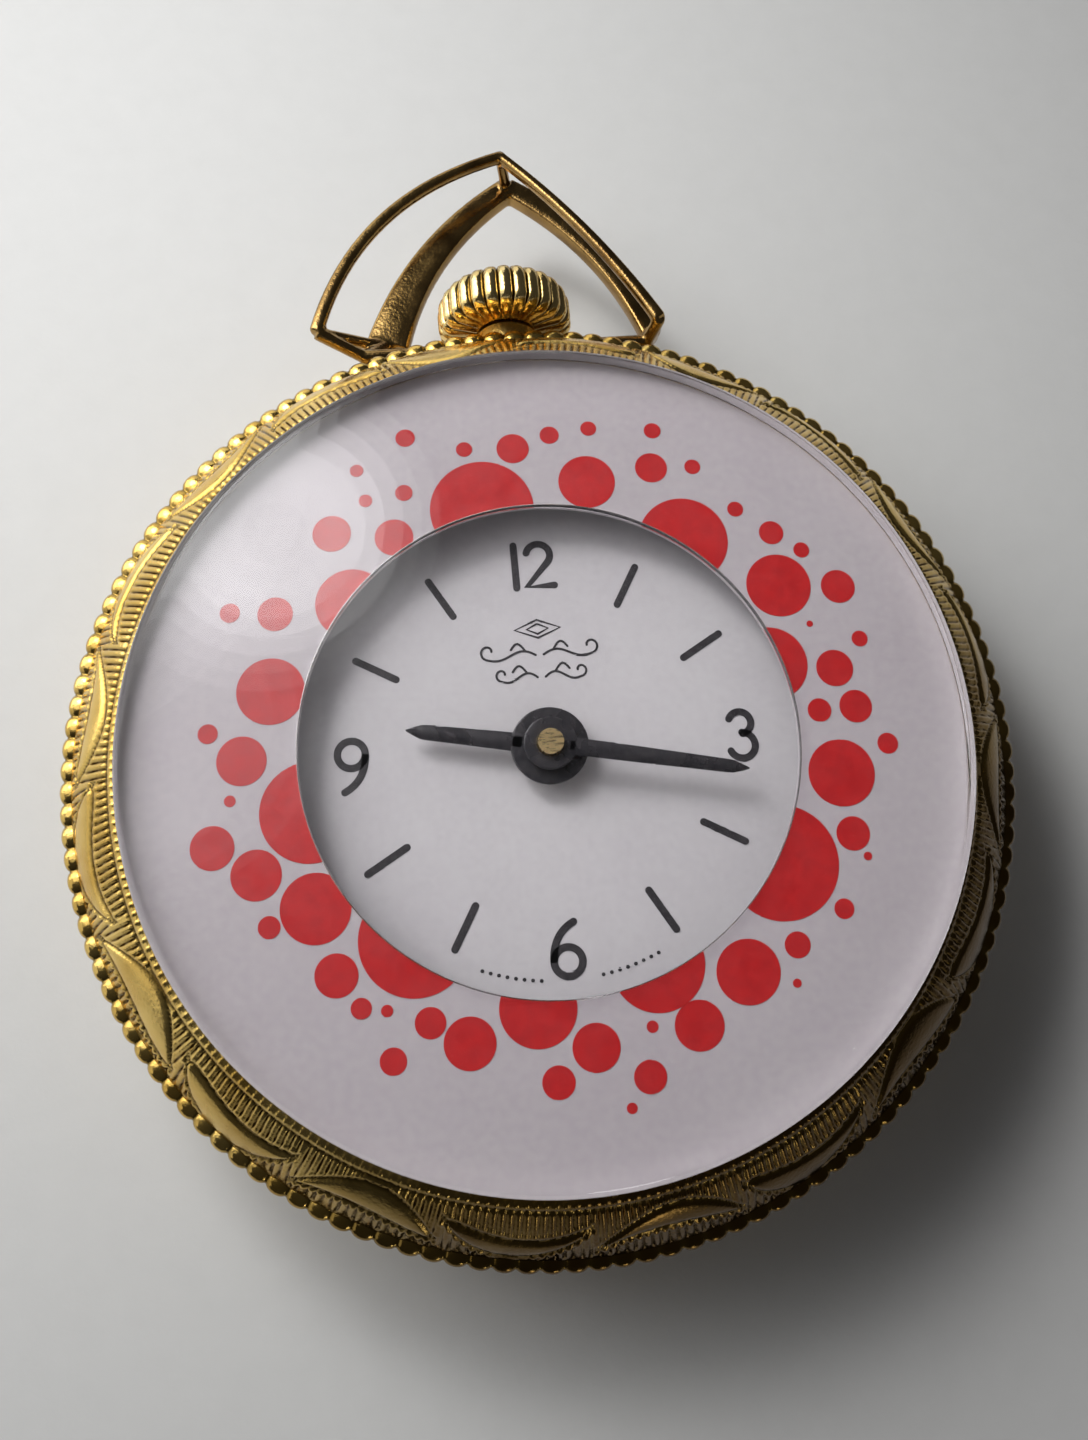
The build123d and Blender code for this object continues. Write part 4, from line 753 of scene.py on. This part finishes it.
def make_crown():
    """The fluted crown: rounded ridges with narrow grooves and a slightly domed end."""
    profile = [(CROWN_START, 0.0), (CROWN_START, 2.45), (CROWN_START + 0.04, 2.56),
               (CROWN_START + 0.10, 2.66), (CROWN_START + 0.20, 2.77), (CROWN_START + 0.34, 2.83),
               (CROWN_START + 0.5, CROWN_RADIUS)]
    profile += [(CROWN_START + 0.5 + 0.16 * k, CROWN_RADIUS) for k in range(1, 5)]
    profile += [(CROWN_END - 0.75, 2.82), (CROWN_END - 0.58, 2.75), (CROWN_END - 0.43, 2.64),
                (CROWN_END - 0.30, 2.46), (CROWN_END - 0.20, 2.2), (CROWN_END - 0.12, 1.7),
                (CROWN_END - 0.08, 1.0), (CROWN_END - 0.07, 0.0)]
    around = CROWN_FLUTES * 12
    points, rings, depths = [], [], []
    for y, radius in profile:
        first = len(points)
        if radius == 0:
            points.append((0, y, STEM_Z))
            depths.append(0.0)
            rings.append([first] * around)
            continue
        cut = FLUTE_DEPTH * smooth_step(radius, 2.0, 2.7)
        for i in range(around):
            turn = tau * i / around
            groove = 1 - abs(cos(turn * CROWN_FLUTES / 2)) ** 0.4
            r = radius - cut * groove
            points.append((r * sin(turn), y, STEM_Z + r * cos(turn)))
            depths.append(groove * 0.8 if cut > 0.01 else 0.0)
        rings.append(list(range(first, first + around)))
    faces = banded(rings, closed=False)
    crown = add_piece("crown_fluted", points, faces, polished_gold, "stem", ["crown"], 60)
    mark_hollows(crown, depths)


PIVOT_Y = 17.95
ELBOW_X = 6.0
PIN_START = 0.95
BACK_RAIL_Z, FRONT_RAIL_Z = 4.0, 6.0
BACK_APEX, FRONT_APEX = (0.75, 26.65), (0.4, 26.7)
BACK_FEET = ((-5.1, 19.0), (6.5, 18.9))
FRONT_FEET = ((-7.9, 18.6), (6.5, 18.4))
BACK_BULGES = (0.85, 0.85)
FRONT_BULGES = (1.6, 0.4)
# Half widths at the apex, half way down and at the foot: a set for each back leg, one for both front legs.
BACK_WIDTHS = ((0.50, 0.68, 0.95), (0.45, 0.52, 0.50))
FRONT_WIDTHS = (0.22, 0.25, 0.3)
# The bars are fused on a grid of this step and then smoothed.
BOW_VOXEL = 0.075
BOW_SMOOTHING = 0.6
BOW_PASSES = 4


def swept(path, half_widths, half_height, power=3.2, sides=16):
    """A bar of a rounded square section along points in space, flat side up where the path is level."""
    points, faces = [], []
    line = [Vector(p) for p in path]
    for i, here in enumerate(line):
        before = line[max(i - 1, 0)]
        after = line[min(i + 1, len(line) - 1)]
        share = i / (len(line) - 1)
        near, middle, far = half_widths
        half_width = near * (1 - share) * (1 - 2 * share) + 4 * middle * share * (1 - share)
        half_width += far * share * (2 * share - 1)
        along = (after - before).normalized()
        side = along.cross(Vector((0, 0, 1)))
        side = side.normalized() if side.length > 0.05 else Vector((1, 0, 0))
        up = side.cross(along).normalized()
        for k in range(sides):
            c, s = cos(tau * k / sides), sin(tau * k / sides)
            size = (abs(c) ** power + abs(s) ** power) ** (-1 / power)
            points.append(tuple(here + side * (half_width * c * size) + up * (half_height * s * size)))
    for i in range(len(line) - 1):
        for k in range(sides):
            m = (k + 1) % sides
            faces.append((sides * i + k, sides * i + m, sides * (i + 1) + m, sides * (i + 1) + k))
    faces += [list(range(sides)), list(range(len(points) - sides, len(points)))]
    return points, faces


def rail_path(apex, foot, level, bulge, steps=20):
    """Points along a bowed rail from the apex to a foot."""
    a, b = Vector((*apex, level)), Vector((*foot, level))
    along = (b - a).normalized()
    outward = Vector((-along.y, along.x, 0)) * (1 if foot[0] > apex[0] else -1)
    return [a.lerp(b, k / steps) + outward * bulge * 4 * (k / steps) * (1 - k / steps)
            for k in range(steps + 1)]


def rod(start, end, half_size):
    """A straight round bar between two points."""
    return swept([start, end], (half_size,) * 3, half_size, 2)


def make_bow():
    """The bow: two pointed arches of square wire joined at the apex and the feet, on two pins."""
    bars = [rod((*BACK_APEX, BACK_RAIL_Z - 0.2), (*FRONT_APEX, FRONT_RAIL_Z + 0.15), 0.24)]
    for side, back_foot, front_foot, back_widths, back_bulge, front_bulge in zip(
            (-1, 1), BACK_FEET, FRONT_FEET, BACK_WIDTHS, BACK_BULGES, FRONT_BULGES):
        back_path = rail_path(BACK_APEX, back_foot, BACK_RAIL_Z, back_bulge)
        front_path = rail_path(FRONT_APEX, front_foot, FRONT_RAIL_Z, front_bulge)
        bars.append(swept(back_path, back_widths, 0.40, 6))
        bars.append(swept(front_path, FRONT_WIDTHS, 0.26))
        elbow = (side * ELBOW_X, PIVOT_Y, STEM_Z)
        bars.append(rod((*back_foot, BACK_RAIL_Z), elbow, 0.34))
        bars.append(rod((*front_foot, FRONT_RAIL_Z), elbow, 0.27))
        bars.append(rod((*back_foot, BACK_RAIL_Z), (*front_foot, FRONT_RAIL_Z), 0.26))
        pin_end = (side * (ELBOW_X + 0.2), PIVOT_Y, STEM_Z)
        bars.append(rod(pin_end, (side * PIN_START, PIVOT_Y, STEM_Z), 0.33))
    points, faces = joined(*bars)
    bow = add_piece("bow_arches", points, faces, shaded_bow_gold, "bow", ["bow"], 80)
    remesh = bow.modifiers.new("fused", "REMESH")
    remesh.mode = "VOXEL"
    remesh.voxel_size = BOW_VOXEL * MM
    remesh.use_smooth_shade = True
    smoothing = bow.modifiers.new("polished", "SMOOTH")
    smoothing.factor = BOW_SMOOTHING
    smoothing.iterations = BOW_PASSES
    fused = bpy.data.meshes.new_from_object(bow.evaluated_get(bpy.context.evaluated_depsgraph_get()))
    bow.modifiers.clear()
    bow.data = fused


# ---------------------------------------------------------------- stage

TARGET = Vector((-0.05, 1.21, 7.0))
VIEW_TILT = radians(13.3)
VIEW_TURN = radians(-106.7)
VIEW_DISTANCE = 39.56
VIEW_ROLL = radians(-5.40)
LENS = 26.43


def make_camera():
    """The camera stands close above the dial, tilted a little towards six."""
    away = Vector((sin(VIEW_TILT) * cos(VIEW_TURN), sin(VIEW_TILT) * sin(VIEW_TURN), cos(VIEW_TILT)))
    ahead = -away
    right = ahead.cross(Vector((0, 1, 0))).normalized()
    up = right.cross(ahead)
    rolled_right = right * cos(VIEW_ROLL) + up * sin(VIEW_ROLL)
    rolled_up = up * cos(VIEW_ROLL) - right * sin(VIEW_ROLL)
    lens = bpy.data.cameras.new("camera")
    lens.lens = LENS
    lens.sensor_width = 36
    lens.clip_start = 0.001
    camera = bpy.data.objects.new("camera", lens)
    turned_frame = Matrix((rolled_right, rolled_up, away)).transposed().to_4x4()
    camera.matrix_world = Matrix.Translation((TARGET + away * VIEW_DISTANCE) * MM) @ turned_frame
    bpy.context.scene.collection.objects.link(camera)
    bpy.context.scene.camera = camera


FLOOR_HALF = 400
FLOOR_LIGHT = (0.655, 0.655, 0.645)
FLOOR_DARK = (0.615, 0.615, 0.605)


def make_floor():
    """A plain pale floor with a faint paper grain."""
    shader = Shader("pale_floor", Roughness=0.75)
    shader.feed(shader.mix(shader.noise(700, 3), FLOOR_LIGHT, FLOOR_DARK), "Base Color")
    shader.bump(shader.noise(2500, 3), 0.01)
    mesh = bpy.data.meshes.new("floor")
    corners = [Vector((x * FLOOR_HALF, y * FLOOR_HALF, 0)) for x, y in ((-1, -1), (1, -1), (1, 1), (-1, 1))]
    mesh.from_pydata([corner * MM for corner in corners], [], [(0, 1, 2, 3)])
    mesh.materials.append(shader.material)
    floor_plane = bpy.data.objects.new("floor", mesh)
    bpy.context.scene.collection.objects.link(floor_plane)


def softbox(name, place, aim, radius, radiance):
    """A round lamp of a radius in millimetres that faces a point and shows a given radiance."""
    data = bpy.data.lights.new(name, "AREA")
    data.shape = "DISK"
    data.size = 2 * radius * MM
    data.energy = radiance * (pi * radius * MM) ** 2
    lamp = bpy.data.objects.new(name, data)
    lamp.location = Vector(place) * MM
    lamp.rotation_mode = "QUATERNION"
    lamp.rotation_quaternion = (Vector(aim) - Vector(place)).to_track_quat("-Z", "Y")
    bpy.context.scene.collection.objects.link(lamp)


# Each soft-edged lamp is a stack of discs as (radius, radiance) that add up toward the middle.
GLARE_AT = Vector((-34, 47, 62))
GLARE_AIM = Vector((-9.6, 8.9, 10.3))
GLARE_LAYERS = ((5, 5.0), (8, 5.6), (11, 6.0), (14, 5.6), (17, 4.2), (20, 2.4), (23, 1.2), (26, 0.6))
VEIL_AT = Vector((-53, 19, 64))
VEIL_AIM = Vector((-13.3, 1.2, 9.9))
VEIL_LAYERS = ((10, 1.1), (14, 1.2), (18, 1.2), (22, 0.9), (26, 0.6), (30, 0.3), (34, 0.2))
WINDOW_AT = Vector((-140, 124, 104))
WINDOW_AIM = Vector((0, 0, 5))
WINDOW_LAYERS = ((54, 1.5), (64, 1.5), (73, 1.4), (81, 1.1), (89, 0.8), (96, 0.5))
# Pale walls above and to the left: where each stands and how bright it is.
WALLS = (((-40, 190, 45), 0.9), ((-165, 100, 45), 1.1), ((-190, -10, 45), 0.6))
WALL_RADIUS = 80
WALL_AIM = Vector((0, 0, 8))
# A low lamp beyond six, for gleams along the lower rim.
GLEAM_AT = Vector((30, -190, 26))
GLEAM_AIM = Vector((0, -17, 6))
GLEAM_RADIUS = 22
GLEAM_RADIANCE = 4.0
ROOM_COLOUR = (0.88, 0.88, 0.92, 1)
ROOM_STRENGTH = 0.05


def make_light():
    """A soft window, two near lamps reflected in the crystal, pale walls, a low gleam and a dim room."""
    for layer, (radius, radiance) in enumerate(GLARE_LAYERS):
        softbox(f"glare_{layer}", GLARE_AT, GLARE_AIM, radius, radiance)
    for layer, (radius, radiance) in enumerate(VEIL_LAYERS):
        softbox(f"veil_{layer}", VEIL_AT, VEIL_AIM, radius, radiance)
    softbox("low_gleam", GLEAM_AT, GLEAM_AIM, GLEAM_RADIUS, GLEAM_RADIANCE)
    for count, (place, radiance) in enumerate(WALLS):
        softbox(f"wall_{count}", place, WALL_AIM, WALL_RADIUS, radiance)
    for layer, (radius, radiance) in enumerate(WINDOW_LAYERS):
        softbox(f"window_{layer}", WINDOW_AT, WINDOW_AIM, radius, radiance)
    world = bpy.data.worlds.new("room")
    world.use_nodes = True
    background = world.node_tree.nodes["Background"]
    background.inputs["Color"].default_value = ROOM_COLOUR
    background.inputs["Strength"].default_value = ROOM_STRENGTH
    scene = bpy.context.scene
    scene.world = world
    scene.view_settings.view_transform = "Standard"


finish_cad_nodes()
make_engraved_band()
make_beaded_rim()
make_crystal()
make_printed_ring()
make_dial()
make_hands()
make_crown()
make_bow()
make_camera()
make_floor()
make_light()
